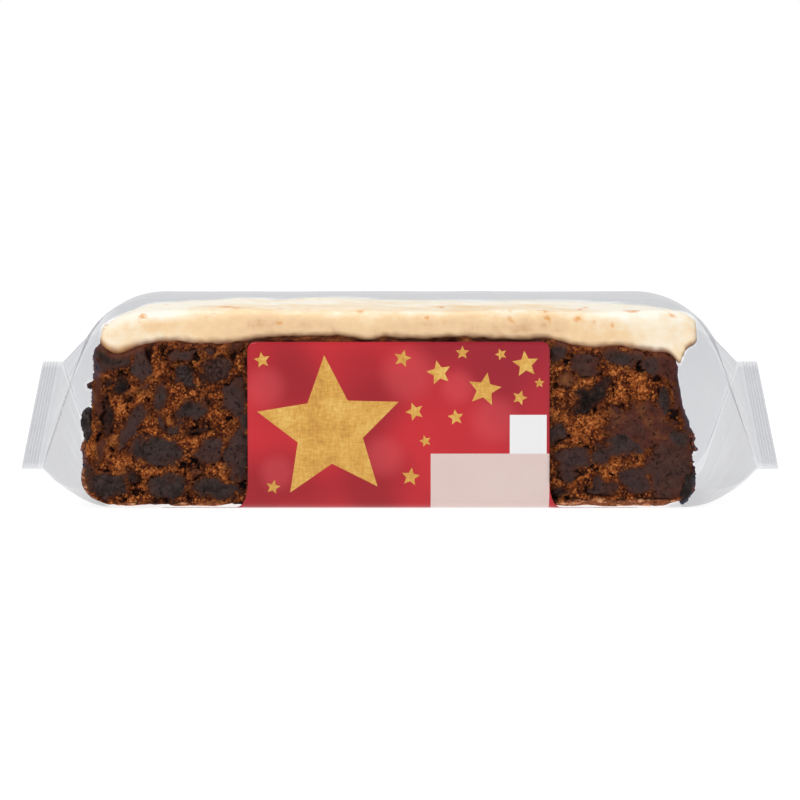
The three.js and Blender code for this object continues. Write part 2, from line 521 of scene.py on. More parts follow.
def film_stations():
    """Distances along the film: wide steps round the cake, fine ones at the ends."""
    straight = np.arange(0.0, TAPER_START, MIDDLE_STEP)
    taper = np.arange(TAPER_START, SEAL_START, TAPER_STEP)
    flat = np.array([SEAL_START, SEAL_START + (SEAL_BAND - RIDGE_BAND) / 2])
    ridges = np.linspace(HALF_LENGTH - RIDGE_BAND, HALF_LENGTH, RIDGE_COUNT * RIDGE_STEPS + 1)
    half = np.concatenate([straight, taper, flat, ridges])
    return np.concatenate([-half[:0:-1], half])


def grid_normals(grid):
    """Outward directions on a grid of stations by points that runs round a loop."""
    lengthwise = np.gradient(grid, axis=0)
    around = np.roll(grid, -1, axis=1) - np.roll(grid, 1, axis=1)
    normal = np.cross(around, lengthwise)
    return normal / np.maximum(np.linalg.norm(normal, axis=2, keepdims=True), NOT_ZERO)


stations = film_stations()
film_base = film_sections(stations)
film_normal = grid_normals(film_base)
film_points = film_base.reshape(-1, 3)
to_end = np.abs(film_points[:, 0])
near_weld = smooth(to_end, PLEAT_START, PLEAT_FULL)
near_weld *= 1.0 - smooth(to_end, SEAL_START - PLEAT_FADE, SEAL_START)
sag = SAG_DEPTH * (0.5 + 0.5 * lumps(film_points, SAG_SIZE, 11))
sag *= 1.0 - smooth(to_end, SEAL_START - SAG_FADE, SEAL_START)
pleat = lumps(film_points / (PLEAT_LENGTH, PLEAT_WIDTH, PLEAT_LENGTH), 1.0, 12)
off_floor = smooth(film_points[:, 2], 0.0, FLOOR_FADE)
press = (sag + PLEAT_DEPTH * near_weld * (0.5 + 0.5 * pleat)) * off_floor
film_grid = film_base - film_normal * press.reshape(film_base.shape[:2])[:, :, None]
middle_ring = film_base[len(stations) // 2]
ring_step = np.linalg.norm(np.roll(middle_ring, -1, axis=0) - middle_ring, axis=1)
ring_at = np.concatenate([[0.0], np.cumsum(ring_step)])
RING_LENGTH = ring_at[-1]
print(f"{len(stations)} sections of {film_base.shape[1]} points, {RING_LENGTH:.1f} mm round")

# %% [markdown]
# ## Clear film
# Clear film takes away a little of the light behind it, and shines where it turns away. Over the
# white surroundings its two layers look pale grey, and over the cake, where it clings, hardly
# anything shows. A glass shader would do this by bending light, which is slow and noisy for a film
# of a few hundredths of a millimetre. A dark glossy surface that is mostly see-through does the
# same. How much of its grey shows is a mark on the mesh, worked out once for the pack's front: none
# inside the outline that the cake and the icing have when seen from in front, and all of it beyond.

# %% Make the film
CLING_ALPHA = 0.01
FREE_ALPHA = 0.255
SEAL_ALPHA = 0.285
RIDGE_ALPHA = 0.07
CLEAR_EDGE = 0.6
EDGE_INSET = 0.5
BACK_EDGE_Y = 22.0
FRONT_EDGE_Y = -21.0
TOP_FREE, BACK_FREE = 0.45, 1.4
BACK_FADE = (16.0, 23.0)
ICING_TRIM = 0.4
OVER_ICING_FADE = 0.5
CAKE_TOP_FADE = (0.5, 1.1)
FOLD_CLEARS = 0.5
FOLD_FADE = (72.0, 79.0)
WELD_FADE = 0.3
FILM_TINT = ink(84, 90, 114)
FILM_MOTTLE = 0.14


def film_finish():
    """Film whose see-through share follows the marks of its mesh."""
    look = Finish("clear_film")
    alpha = CLING_ALPHA + look.attribute("free") * (FREE_ALPHA - CLING_ALPHA)
    alpha = alpha + look.attribute("weld") * (SEAL_ALPHA - FREE_ALPHA)
    alpha = alpha + look.attribute("ridge") * RIDGE_ALPHA
    mottle = look.noise(9.0, detail=3.0) - 0.5
    alpha = alpha * (1.0 + mottle * FILM_MOTTLE)
    shader = look.gloss(
        Base_Color=(*FILM_TINT, 1.0), Roughness=0.14, IOR=1.3, Alpha=alpha,
        Normal=look.bump(look.noise(5.0, detail=3.0), 0.12),
    )
    return look.finish_with(shader)


film_look = film_finish()
print(f"{film_look.name}: {len(film_look.node_tree.nodes)} nodes")

# %% Find where the film's grey shows
def within(gap):
    """1 inside an edge and 0 outside it, eased just inside the edge."""
    return smooth(gap - EDGE_INSET, -CLEAR_EDGE, CLEAR_EDGE)


def seen_in_front(x, y, z):
    """Where the line from the camera through a point crosses the pack's front, as (x, z)."""
    share = (-HALF_DEPTH - CAMERA_Y) / (y - CAMERA_Y)
    return x * share, CAMERA_Z + (z - CAMERA_Z) * share


def stands_free(x, y, z):
    """How much of the film's grey shows: none where, from in front, it covers cake or icing."""
    in_front, height = seen_in_front(x, y, z)
    icing_low = through(ICING_EDGE, in_front)
    back_share = seen_in_front(1.0, BACK_EDGE_Y, 0.0)[0]
    front_high = seen_in_front(x, FRONT_EDGE_Y, through(ICING_FRONT, in_front))[1]
    back_high = seen_in_front(x, BACK_EDGE_Y, through(ICING_BACK, in_front / back_share))[1]
    icing_high = np.maximum(front_high, back_high) - ICING_TRIM
    in_icing = within(in_front - ICING_LEFT) * within(ICING_RIGHT - in_front)
    in_icing = in_icing * within(height - icing_low)
    in_cake = within(x - through(LEFT_SEEN, height)) * within(through(RIGHT_END, height) - x)
    in_cake = in_cake * (1.0 - smooth(height - icing_low, *CAKE_TOP_FADE))
    above = smooth(height, icing_high, icing_high + OVER_ICING_FADE)
    at_back = smooth(y, *BACK_FADE)
    over_icing = in_icing * above * (TOP_FREE + (BACK_FREE - TOP_FREE) * at_back)
    return 1.0 - np.minimum(in_icing + in_cake, 1.0) + over_icing


middle_of_front = stands_free(np.zeros(2), np.full(2, -HALF_DEPTH), np.array([20.0, 51.0]))
print("grey over the cake and over the icing's top:", np.round(middle_of_front, 2))

# %% Build the film
film_x, film_y, film_z = film_grid.reshape(-1, 3).T
from_middle = np.abs(film_x)
free = stands_free(film_x, film_y, film_z)
at_corner = np.arange(film_grid.shape[1]) % (CORNER_POINTS + FACE_POINTS) < CORNER_POINTS
at_corner = np.tile(at_corner, len(stations))
free = free * (1.0 - FOLD_CLEARS * at_corner * smooth(from_middle, *FOLD_FADE))
weld = smooth(from_middle, SEAL_START - WELD_FADE, SEAL_START + WELD_FADE)
past_ridges = from_middle - (HALF_LENGTH - RIDGE_BAND)
ridged = np.clip(np.sin(2 * np.pi * RIDGE_COUNT * past_ridges / RIDGE_BAND), 0.0, 1.0) * (past_ridges > 0)
film_faces = closed_grid(*film_grid.shape[:2]).tolist() + end_faces(*film_grid.shape[:2])
film = make_piece(
    "film", film_grid.reshape(-1, 3), film_faces, [film_look],
    marks={"free": free, "weld": weld, "ridge": ridged},
)
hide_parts("film_pack")

# %% [markdown]
# ## Where the dried fruit lies
# Raisins and sultanas make up nearly half of such a cake. The knife cuts through those at the
# surface, so each shows as a smooth dark patch, level with the crumb. They could be separate
# meshes, half sunk, but then each would cast an edge that the real ones don't have. Here every
# fruit is an egg-shaped region in the cake, and the surface turns into fruit where it lies inside
# one. Those in the two windows beside the print are listed one by one after the photographed cake,
# and the rest are drawn at random.

# %% List the fruit in the windows
BLACK, SLATE, PURPLE, PLUM, MAROON, TAWNY = 0.0, 0.2, 0.4, 0.6, 0.8, 1.0
FRUIT_INKS = [(27, 17, 12), (58, 47, 44), (67, 48, 45), (75, 48, 40), (80, 40, 32), (124, 74, 42)]
FRONT_Y = -24.4
BACK_Y = 24.2
# Each fruit: x, z, half its width, half its height, its turn in degrees, its kind, how wrinkled.
LEFT_WINDOW_FRUIT = [
    (-70.6, 36.2, 4.7, 2.5, -5, SLATE, 0.1),
    (-73.2, 38.6, 2.2, 2.4, 0, SLATE, 0.1),
    (-63.5, 35.3, 2.6, 4.4, 5, PURPLE, 0.1),
    (-66.8, 38.2, 3.0, 1.2, 10, PURPLE, 0.2),
    (-52.7, 37.9, 4.6, 1.5, 3, PURPLE, 0.2),
    (-46.5, 38.8, 1.4, 1.2, 0, PLUM, 0.3),
    (-68.2, 30.1, 2.9, 1.5, 62, BLACK, 0.9),
    (-71.1, 30.2, 1.2, 1.3, 0, BLACK, 0.8),
    (-71.6, 22.5, 5.3, 1.3, 86, BLACK, 0.8),
    (-65.9, 20.0, 5.9, 2.1, 58, PURPLE, 0.2),
    (-59.6, 14.1, 7.2, 3.6, -8, SLATE, 0.3),
    (-55.6, 19.4, 1.5, 1.6, 0, SLATE, 0.3),
    (-58.2, 21.0, 1.0, 2.2, 10, PURPLE, 0.2),
    (-58.7, 27.7, 4.2, 1.5, 82, SLATE, 0.3),
    (-52.5, 33.1, 2.6, 2.6, 0, SLATE, 0.9),
    (-44.5, 34.0, 3.5, 3.3, 0, PLUM, 0.9),
    (-47.9, 32.3, 0.9, 1.5, 10, BLACK, 0.9),
    (-40.2, 39.7, 1.6, 1.2, 20, BLACK, 0.9),
    (-40.0, 26.9, 3.2, 4.9, 0, PURPLE, 0.2),
    (-49.3, 19.2, 3.4, 0.7, 12, BLACK, 0.9),
    (-50.8, 24.0, 4.6, 2.5, 25, SLATE, 0.4),
    (-46.9, 14.4, 4.0, 2.3, 35, PURPLE, 0.3),
    (-39.6, 13.2, 3.3, 6.2, 0, PURPLE, 0.3),
    (-37.5, 22.0, 2.0, 2.2, 0, SLATE, 0.3),
    (-45.4, 4.9, 6.7, 2.4, -3, SLATE, 0.5),
    (-56.9, 5.3, 4.7, 2.9, 0, SLATE, 0.5),
    (-71.3, 6.0, 5.0, 3.3, 5, SLATE, 0.6),
    (-65.0, 7.7, 2.4, 1.6, -20, BLACK, 0.9),
    (-76.4, 9.0, 1.6, 2.4, 0, PURPLE, 0.3),
    (-73.9, 27.0, 1.1, 7.5, 2, MAROON, 0.1),
    (-73.4, 14.5, 1.0, 3.6, -8, MAROON, 0.2),
    (-62.5, 29.5, 1.6, 1.0, 30, MAROON, 0.2),
    (-50.0, 9.5, 1.6, 1.0, 0, MAROON, 0.3),
]
RIGHT_WINDOW_FRUIT = [
    (38.8, 38.5, 2.1, 2.6, 0, SLATE, 0.2),
    (45.2, 35.6, 3.6, 3.2, 0, PLUM, 0.2),
    (54.3, 37.0, 5.2, 2.3, -8, SLATE, 0.2),
    (61.3, 35.3, 2.5, 2.8, 0, PURPLE, 0.2),
    (66.0, 34.4, 3.2, 4.2, 10, MAROON, 0.1),
    (64.7, 26.6, 2.2, 3.4, 12, SLATE, 0.5),
    (46.6, 27.4, 5.2, 2.2, 37, BLACK, 0.9),
    (40.7, 31.3, 1.9, 1.5, 0, TAWNY, 0.2),
    (59.3, 20.3, 8.6, 5.6, -6, MAROON, 0.1),
    (54.9, 15.6, 4.4, 3.2, 10, SLATE, 0.1),
    (66.2, 10.2, 6.0, 8.6, -4, PLUM, 0.2),
    (68.5, 17.3, 3.0, 2.2, -20, SLATE, 0.2),
    (38.5, 18.3, 2.6, 2.4, 0, PURPLE, 0.3),
    (42.2, 12.2, 5.0, 2.5, 0, PURPLE, 0.3),
    (49.8, 13.4, 2.5, 2.6, 0, PURPLE, 0.3),
    (41.0, 8.6, 2.6, 2.2, -30, PURPLE, 0.4),
    (49.6, 5.2, 3.7, 1.8, 5, PURPLE, 0.5),
    (57.5, 7.0, 3.7, 3.5, 0, PURPLE, 0.3),
    (38.4, 4.1, 2.3, 1.3, 0, BLACK, 0.8),
    (52.8, 24.3, 1.8, 1.2, -20, PLUM, 0.4),
    (70.3, 22.0, 1.5, 3.0, 0, PLUM, 0.3),
    (50.0, 31.0, 1.3, 0.9, 30, BLACK, 0.8),
    (68.7, 29.5, 1.3, 6.2, -5, MAROON, 0.1),
    (65.4, 37.0, 3.0, 1.6, 0, MAROON, 0.1),
]
WINDOW_FRUIT_DEPTH = 3.4


def window_fruit():
    """The listed fruit, with its middle on the front face."""
    found = []
    for x, z, half_wide, half_high, turn, kind, wrinkled in LEFT_WINDOW_FRUIT + RIGHT_WINDOW_FRUIT:
        place = np.array([x, FRONT_Y, z])
        size = np.array([half_wide, WINDOW_FRUIT_DEPTH, half_high])
        found.append((place, size, np.array([turn, 0.0]), kind, wrinkled))
    return found


print(f"{len(window_fruit())} pieces of fruit placed by hand")

# %% Draw the rest of the fruit
LEFT_WINDOW_END, RIGHT_WINDOW_START = -35.0, 35.0
STRAY_FRUIT = 470
STRAY_SIZE = (1.6, 4.6)
STRAY_KINDS = (BLACK, SLATE, SLATE, PURPLE, PURPLE, PLUM, MAROON)
STRAY_HALF_DEPTH, STRAY_LOWEST = 24.0, 0.5
STRAY_GAP, STRAY_CUT = 0.5, 0.8
CAKE_HEIGHT = 42.0
CAKE_LEFT, CAKE_RIGHT = -76.0, 70.5


def stray_fruit():
    """Fruit at random near the surfaces of the cake, none of it in the two front windows."""
    rng = np.random.default_rng(7)
    found = []
    while len(found) < STRAY_FRUIT:
        place = rng.uniform(
            (CAKE_LEFT, -STRAY_HALF_DEPTH, STRAY_LOWEST), (CAKE_RIGHT, STRAY_HALF_DEPTH, CAKE_HEIGHT)
        )
        size = np.exp(rng.uniform(*np.log(STRAY_SIZE), size=3))
        turn = rng.uniform(-90.0, 90.0, size=2)
        kind = rng.choice(STRAY_KINDS)
        wrinkled = rng.uniform(0.1, 0.9) ** 1.5
        in_window = place[0] < LEFT_WINDOW_END or place[0] > RIGHT_WINDOW_START
        if in_window and place[1] < FRONT_Y + size.max() + STRAY_GAP:
            continue
        from_ends = min(place[0] - CAKE_LEFT, CAKE_RIGHT - place[0])
        depth_inside = min(from_ends, STRAY_HALF_DEPTH - abs(place[1]), place[2])
        if depth_inside < STRAY_CUT * size.min():
            found.append((place, size, turn, kind, wrinkled))
    return found


all_fruit = window_fruit() + stray_fruit()
print(f"{len(all_fruit)} pieces of fruit in all")

# %% [markdown]
# ## The cake's surface
# Rich fruit cake has a coarse moist crumb. Seen close, it is a heap of grains of about a
# millimetre with dark gaps between them, broken by small holes. The slab's sides were cut, so they
# are flat on the whole, and its ends lean and bulge where fruit was pushed aside. A displaced cube
# would need far too many faces to show grains everywhere. So the points stand closest in the two
# windows of the front, wider on the ends and the back, and widest behind the print.

# %% Draw the slab from above
WINDOW_STEP = 0.29
END_STEP = 0.62
BACK_STEP = 0.95
HIDDEN_STEP = 1.6
CORNER_RADIUS = 1.6
CORNER_STEPS = 6
PLAN_LEFT, PLAN_RIGHT = -76.0, 70.0


def plan_outline():
    """Points round the cake seen from above, anticlockwise, with the way out at each."""
    left, right = PLAN_LEFT + CORNER_RADIUS, PLAN_RIGHT - CORNER_RADIUS
    front, back = FRONT_Y + CORNER_RADIUS, BACK_Y - CORNER_RADIUS
    front_x = np.concatenate([
        np.arange(left, LEFT_WINDOW_END, WINDOW_STEP),
        np.arange(LEFT_WINDOW_END, RIGHT_WINDOW_START, HIDDEN_STEP),
        np.arange(RIGHT_WINDOW_START, right, WINDOW_STEP),
    ])
    end_y = np.arange(front, back, END_STEP)
    back_x = np.arange(right, left, -BACK_STEP)
    sides = [
        (front_x, np.full(len(front_x), FRONT_Y), (right, front), -90.0),
        (np.full(len(end_y), PLAN_RIGHT), end_y, (right, back), 0.0),
        (back_x, np.full(len(back_x), BACK_Y), (left, back), 90.0),
        (np.full(len(end_y), PLAN_LEFT), end_y[::-1], (left, front), 180.0),
    ]
    points, ways = [], []
    for xs, ys, centre, angle in sides:
        way = np.radians(angle)
        points += list(zip(xs, ys))
        ways += [(math.cos(way), math.sin(way))] * len(xs)
        for step in range(CORNER_STEPS):
            way = math.radians(angle + 90.0 * (step + 0.5) / CORNER_STEPS)
            out = (math.cos(way), math.sin(way))
            points.append((centre[0] + CORNER_RADIUS * out[0], centre[1] + CORNER_RADIUS * out[1]))
            ways.append(out)
    return np.array(points), np.array(ways)


plan, plan_way = plan_outline()
columns = len(plan)
print(f"{columns} points round the slab")

# %% Raise its sides
ROWS = 134
CAKE_FOOT, FOOT_RADIUS = 0.6, 1.7
ICING_OVERLAP, OVERLAP_FADE = 1.6, 4.0
LEFT_SWAY, RIGHT_SWAY = (60.0, 72.0), (56.0, 68.0)
SWAY_DEPTH, SWAY_SIZE, SWAY_FADE = 1.1, 9.0, (-18.0, 6.0)
BULGE, BULGE_Y, BULGE_Z = 2.9, -15.0, 14.8
BULGE_WIDE, BULGE_HIGH = 7.0, 3.4


def sway_ends(x, y, z):
    """Moves the flat ends of the plan to the leaning, bulging ends of the real slab."""
    wave = SWAY_DEPTH * lumps(np.stack([y, z, z * 0.0], axis=1), SWAY_SIZE, 21) * smooth(y, *SWAY_FADE)
    bulge = BULGE * np.exp(-(((z - BULGE_Z) / BULGE_HIGH) ** 2) - ((y - BULGE_Y) / BULGE_WIDE) ** 2)
    left = through(LEFT_END, z) - PLAN_LEFT + wave - bulge
    right = through(RIGHT_END, z) - PLAN_RIGHT + wave
    left *= smooth(-x, *LEFT_SWAY)
    right *= smooth(x, *RIGHT_SWAY)
    return x + left + right


share = np.linspace(0.0, 1.0, ROWS)[:, None]
under_icing = ICING_OVERLAP * smooth(plan[:, 0], PLAN_LEFT, PLAN_LEFT + OVERLAP_FADE)
cake_top = through(ICING_EDGE, plan[:, 0]) + under_icing
cake_z = CAKE_FOOT + share * (cake_top - CAKE_FOOT)
rise = np.clip(cake_z - CAKE_FOOT, 0.0, FOOT_RADIUS)
inset = FOOT_RADIUS - np.sqrt(FOOT_RADIUS**2 - (FOOT_RADIUS - rise) ** 2)
cake_x = plan[:, 0] - plan_way[:, 0] * inset
cake_y = plan[:, 1] - plan_way[:, 1] * inset
side_points = np.stack([cake_x.ravel(), cake_y.ravel(), cake_z.ravel()], axis=1)
side_points[:, 0] = sway_ends(*side_points.T)
side_ways = np.tile(np.column_stack([plan_way, np.zeros(columns)]), (ROWS, 1))
foot_part = (1.0 - (rise / FOOT_RADIUS).ravel()) ** 2
side_ways[:, 2] -= foot_part
side_ways /= np.linalg.norm(side_ways, axis=1, keepdims=True)
print(f"{ROWS} rows of points up the sides")

# %% [markdown]
# ## Grain, holes and fruit in relief
# At each point the surface is either fruit or crumb. Crumb rises in rounded grains of two sizes and
# falls into holes. Fruit is smoother, with a low crown, and the drier ones are wrinkled. Where the
# two meet the crumb has often shrunk away and left a crack. A displacement map could give this
# relief, but colour would then have to find the same edges again. So the relief is worked out
# together with marks that the finish reads, among them painted shade for the holes, cracks, gaps
# and furrows, and a colour change sits on its own edge.

# %% Find the fruit at each point
WARP_SIZE = 3.2
WARP = 1.15


def in_fruit_frame(offsets, turn):
    """Offsets from a fruit's middle, turned to lie along the fruit."""
    tilt, swing = np.radians(turn)
    x, y, z = offsets.T
    x, y = x * math.cos(swing) + y * math.sin(swing), y * math.cos(swing) - x * math.sin(swing)
    x, z = x * math.cos(tilt) + z * math.sin(tilt), z * math.cos(tilt) - x * math.sin(tilt)
    return np.stack([x, y, z], axis=1)


def nearest_fruit(points):
    """How far each point lies outside the nearest fruit, in mm, with its kind, wrinkles and crown."""
    wobble = 0.20 * lumps(points, 2.1, 31) + 0.12 * lumps(points, 0.9, 32) - 0.04
    warp = np.stack([lumps(points, WARP_SIZE, seed) for seed in (33, 34, 35)], axis=1)
    points = points + WARP * warp
    outside = np.full(len(points), 5.0)
    kind, wrinkled, crown = np.zeros((3, len(points)))
    for place, size, turn, fruit_kind, fruit_wrinkled in all_fruit:
        offsets = points - place
        near = np.flatnonzero((np.abs(offsets) < 1.5 * size.max() + 1.0).all(axis=1))
        if len(near) == 0:
            continue
        reach = np.linalg.norm(in_fruit_frame(offsets[near], turn) / size, axis=1) + wobble[near]
        gap = (reach - 1.0) * size.min()
        closer = gap < outside[near]
        nearer = near[closer]
        outside[nearer] = gap[closer]
        kind[nearer] = fruit_kind
        wrinkled[nearer] = fruit_wrinkled
        crown[nearer] = np.clip(1.0 - reach[closer] ** 2, 0.0, 1.0)
    return outside, kind, wrinkled, crown


sample = np.array([[-59.6, FRONT_Y, 14.1], [59.3, FRONT_Y, 20.3]])
print("two points inside fruit, in mm from its edge:", np.round(nearest_fruit(sample)[0], 1))

# %% Shape crumb, fruit and crust
GRAIN_SIZE, GRAIN_RELIEF = 1.15, 0.5
FINE_GRAIN_SIZE, FINE_GRAIN_RELIEF = 0.62, 0.18
GRAIN_REACH, GRAIN_MIDDLE = 0.85, 0.8
HOLE_SIZE, HOLE_DEPTH = 2.3, 1.4
FRUIT_CROWN = 0.34
WRINKLE_SIZE, WRINKLE_RELIEF = 1.5, 0.42
CRUST_TOP, CRUST_RIGHT = 1.1, 1.2
CRUST_RELIEF = 0.35
CRUST_FADE = 0.35
CRUST_UP_END = (8.5, 10.5)


def crumb_form(points):
    """The crumb's relief in mm, its holes, how high a point lies on its grain, and the grain's tone."""
    near, tone = grains(points, GRAIN_SIZE, 41)
    fine_near, fine_tone = grains(points, FINE_GRAIN_SIZE, 51)
    ball = np.sqrt(np.clip(1.0 - (near / GRAIN_REACH) ** 2, 0.0, 1.0))
    fine_ball = np.sqrt(np.clip(1.0 - (fine_near / GRAIN_REACH) ** 2, 0.0, 1.0))
    hole = rough_lumps(points, HOLE_SIZE, HOLE_SIZE / 2, 61)
    hole = smooth(hole + 0.4 * lumps(points, 3 * HOLE_SIZE, 60), 0.34, 0.8)
    relief = GRAIN_RELIEF * (ball - GRAIN_MIDDLE) + FINE_GRAIN_RELIEF * (fine_ball - GRAIN_MIDDLE)
    return relief - HOLE_DEPTH * hole, hole, ball, 0.6 * tone + 0.4 * fine_tone


def fruit_form(points, wrinkled, crown):
    """The relief of cut fruit in mm, and its furrows from 0 to 1."""
    furrow = smooth(1.0 - np.abs(rough_lumps(points, WRINKLE_SIZE, WRINKLE_SIZE / 2, 65)), 0.55, 1.0)
    flesh = FRUIT_CROWN * (crown - 0.3) - WRINKLE_RELIEF * wrinkled * furrow
    flesh += 0.07 * lumps(points, 0.9, 67) + 0.12 * lumps(points, 2.4, 66)
    return flesh, furrow


def crust_form(points):
    """Where the baked crust shows, from 0 to 1, its relief in mm, and the height of its upper edge."""
    height = points[:, 2]
    edge = CRUST_TOP + lumps(points * (1.0, 1.0, 0.0), 5.0, 68)
    edge += CRUST_RIGHT * smooth(points[:, 0], 30.0, 45.0)
    at_foot = 1.0 - smooth(height, edge - CRUST_FADE, edge + CRUST_FADE)
    off_left_end = points[:, 0] - through(LEFT_END, height) + 0.3 * lumps(points, 1.7, 58)
    at_left_end = (1.0 - smooth(off_left_end, 0.3, 1.0)) * (1.0 - smooth(height, *CRUST_UP_END))
    at_left_end *= 1.0 - 0.8 * smooth(points[:, 1], -23.0, -18.5)
    baked = CRUST_RELIEF * (0.4 + 0.6 * lumps(points * (1.0, 1.0, 0.3), 4.0, 69))
    return np.maximum(at_foot, at_left_end), baked, edge


print("relief of the crumb at the two points:", np.round(crumb_form(sample)[0], 2))

# %% Put relief and marks together
FRUIT_EDGE, FRUIT_FADE = 0.24, 0.55
CRACK_WIDTH, CRACK_DEPTH = 0.28, 0.8
SEAM_WIDTH, SEAM_DEPTH = 0.32, 0.5
SWELL_SIZE, SWELL_RELIEF = 8.0, 0.35
SMEAR_SIZE = 4.6
MOIST_REACH = 1.5


def cake_surface(points):
    """Relief in mm at each point of the cake, and the marks that its finish reads."""
    outside, kind, wrinkled, crown = nearest_fruit(points)
    fruit = 1.0 - smooth(outside, -FRUIT_EDGE, FRUIT_EDGE)
    crumb, hole, ball, tone = crumb_form(points)
    flesh, furrow = fruit_form(points, wrinkled, crown)
    crust, baked, crust_edge = crust_form(points)
    crack = np.exp(-((outside / CRACK_WIDTH) ** 2)) * smooth(lumps(points, 2.6, 64), 0.1, 0.55)
    seam = smooth(0.35 + 0.3 * lumps(points * (1.0, 1.0, 0.2), 2.6, 59), 0.15, 0.4)
    seam *= np.exp(-(((points[:, 2] - crust_edge) / SEAM_WIDTH) ** 2))

    relief = crumb + (flesh - crumb) * fruit - CRACK_DEPTH * crack
    relief += (baked - relief) * crust * 0.8 + SWELL_RELIEF * lumps(points, SWELL_SIZE, 63)
    relief -= SEAM_DEPTH * seam

    # Painted shade: how dark the holes, the cracks round the fruit, the gaps between grains and the crust's
    # seam are painted.
    depth = np.clip(0.75 * hole * (1.0 - fruit) + 0.9 * crack, 0.0, 1.0)
    depth = np.maximum(depth, (1.0 - fruit) * (1.0 - ball) ** 2 * 0.8) * (1.0 - 0.8 * crust)
    smeared = smooth(rough_lumps(points, SMEAR_SIZE, SMEAR_SIZE / 3, 36), 0.05, 0.7)
    marks = {
        "fruit": (1.0 - smooth(outside, -FRUIT_FADE, FRUIT_EDGE)) * (1.0 - crust),
        "kind": kind,
        "furrow": fruit * wrinkled * furrow,
        "rim": fruit * smooth(outside + 0.5 * lumps(points, 1.8, 57), -1.5, 0.1),
        "tone": tone,
        "depth": np.maximum(depth, 0.9 * seam),
        "moist": np.maximum(1.0 - smooth(outside, 0.0, MOIST_REACH), smeared),
        "crust": crust,
        "soaked": smooth(points[:, 2] - through(ICING_EDGE, points[:, 0]), -2.2, -0.2),
    }
    return relief, marks


print("relief of the cake at the two points:", np.round(cake_surface(sample)[0], 2))

# %% [markdown]
# ## Crumb, fruit and crust in one finish
# The cut face of the cake is one surface with three materials on it. Each could have its own
# material and its own faces, but their borders are ragged and finer than the faces. So there is one
# finish, and the marks at the points mix the colours: orange-brown grains that differ from each
# other, painted shade near black in the gaps, holes and cracks, slate to plum fruit with a soft
# shine and painted shade in its pits and furrows, and a tan crust at the foot.

# %% Mix the cake's colours
CRUMB_DARK = ink(46, 17, 6)
CRUMB_BROWN = ink(90, 40, 15)
CRUMB_ORANGE = ink(154, 80, 34)
CRUMB_PALE = ink(200, 122, 62)
# Painted shade: the near black put in gaps, holes, cracks, the crust's seam and the pits of fruit.
GAP_SHADE = ink(20, 7, 2)
FLESH_BLOOM = ink(88, 66, 56)
FLESH_DARK = ink(32, 18, 12)
VEIN_COLOUR = ink(28, 15, 10)
# Painted shade in the furrows of cut fruit.
FURROW_SHADE = ink(16, 9, 7)
RIM_COLOUR = ink(82, 42, 28)
SOAKED_COLOUR = ink(128, 70, 48)
CRUST_DARK = ink(66, 32, 18)
CRUST_TAN = ink(166, 98, 64)
CRUST_PALE = ink(222, 164, 120)


def fruit_colour(look, cloud_mm, spread):
    """The colour of each fruit's kind, clouded so that one fruit isn't all of one shade."""
    kinds = [(index / (len(FRUIT_INKS) - 1), ink(*shade)) for index, shade in enumerate(FRUIT_INKS)]
    cloud = look.noise(cloud_mm, detail=2.0) - 0.5
    return look.ramp(look.attribute("kind") + cloud * spread, kinds)


def crumb_colour(look):
    """Grains from dark brown to pale orange, darker where the crumb is moist."""
    patch = look.noise(6.0, detail=3.0, roughness=0.6)
    speck = look.noise(0.55, detail=3.0, roughness=0.6)
    value = look.attribute("tone") * 0.7 + speck * 0.9 + patch * 0.9 - 0.73
    crumb = look.ramp(value, [
        (0.18, CRUMB_DARK), (0.42, CRUMB_BROWN), (0.62, CRUMB_ORANGE), (0.86, CRUMB_PALE),
    ])
    return look.mix(look.attribute("moist") * 0.62, crumb, CRUMB_DARK)


def flesh_colour(look):
    """Cut fruit: cloudy, with a warm rim and fine veins, and painted shade in small pits and dark furrows.
    """
    flesh = fruit_colour(look, 3.6, 0.7)
    bloom = look.noise(1.9, detail=4.0, roughness=0.6)
    flesh = look.mix(bloom.step(0.5, 0.8) * 0.45, flesh, FLESH_BLOOM)
    flesh = look.mix(bloom.step(0.52, 0.3) * 0.6, flesh, FLESH_DARK)
    flesh = look.mix(look.attribute("rim") * 0.55, flesh, RIM_COLOUR)
    # Painted shade: small dark pits, painted with no relief under them.
    pits = look.noise(0.8, detail=1.0).step(0.62, 0.7)
    flesh = look.mix(pits * 0.75, flesh, GAP_SHADE)
    vein = (look.noise(3.2, detail=3.0, roughness=0.6) - 0.5).maths("ABSOLUTE")
    flesh = look.mix((1.0 - vein.step(0.004, 0.03)) * 0.6, flesh, VEIN_COLOUR)
    # Painted shade: near black in the furrows, which the relief also sinks.
    return look.mix(look.attribute("furrow") * 0.8, flesh, FURROW_SHADE)


def crust_colour(look):
    """The baked foot: tan and dark streaks that run along it."""
    streak = look.noise(1.0, detail=5.0, roughness=0.65, stretch=(0.42, 0.42, 1.0))
    return look.ramp(streak, [
        (0.36, CRUST_DARK), (0.43, CRUST_TAN), (0.48, CRUST_DARK), (0.53, CRUST_TAN), (0.64, CRUST_PALE),
    ])


print("fruit from", FRUIT_INKS[0], "to", FRUIT_INKS[-1])

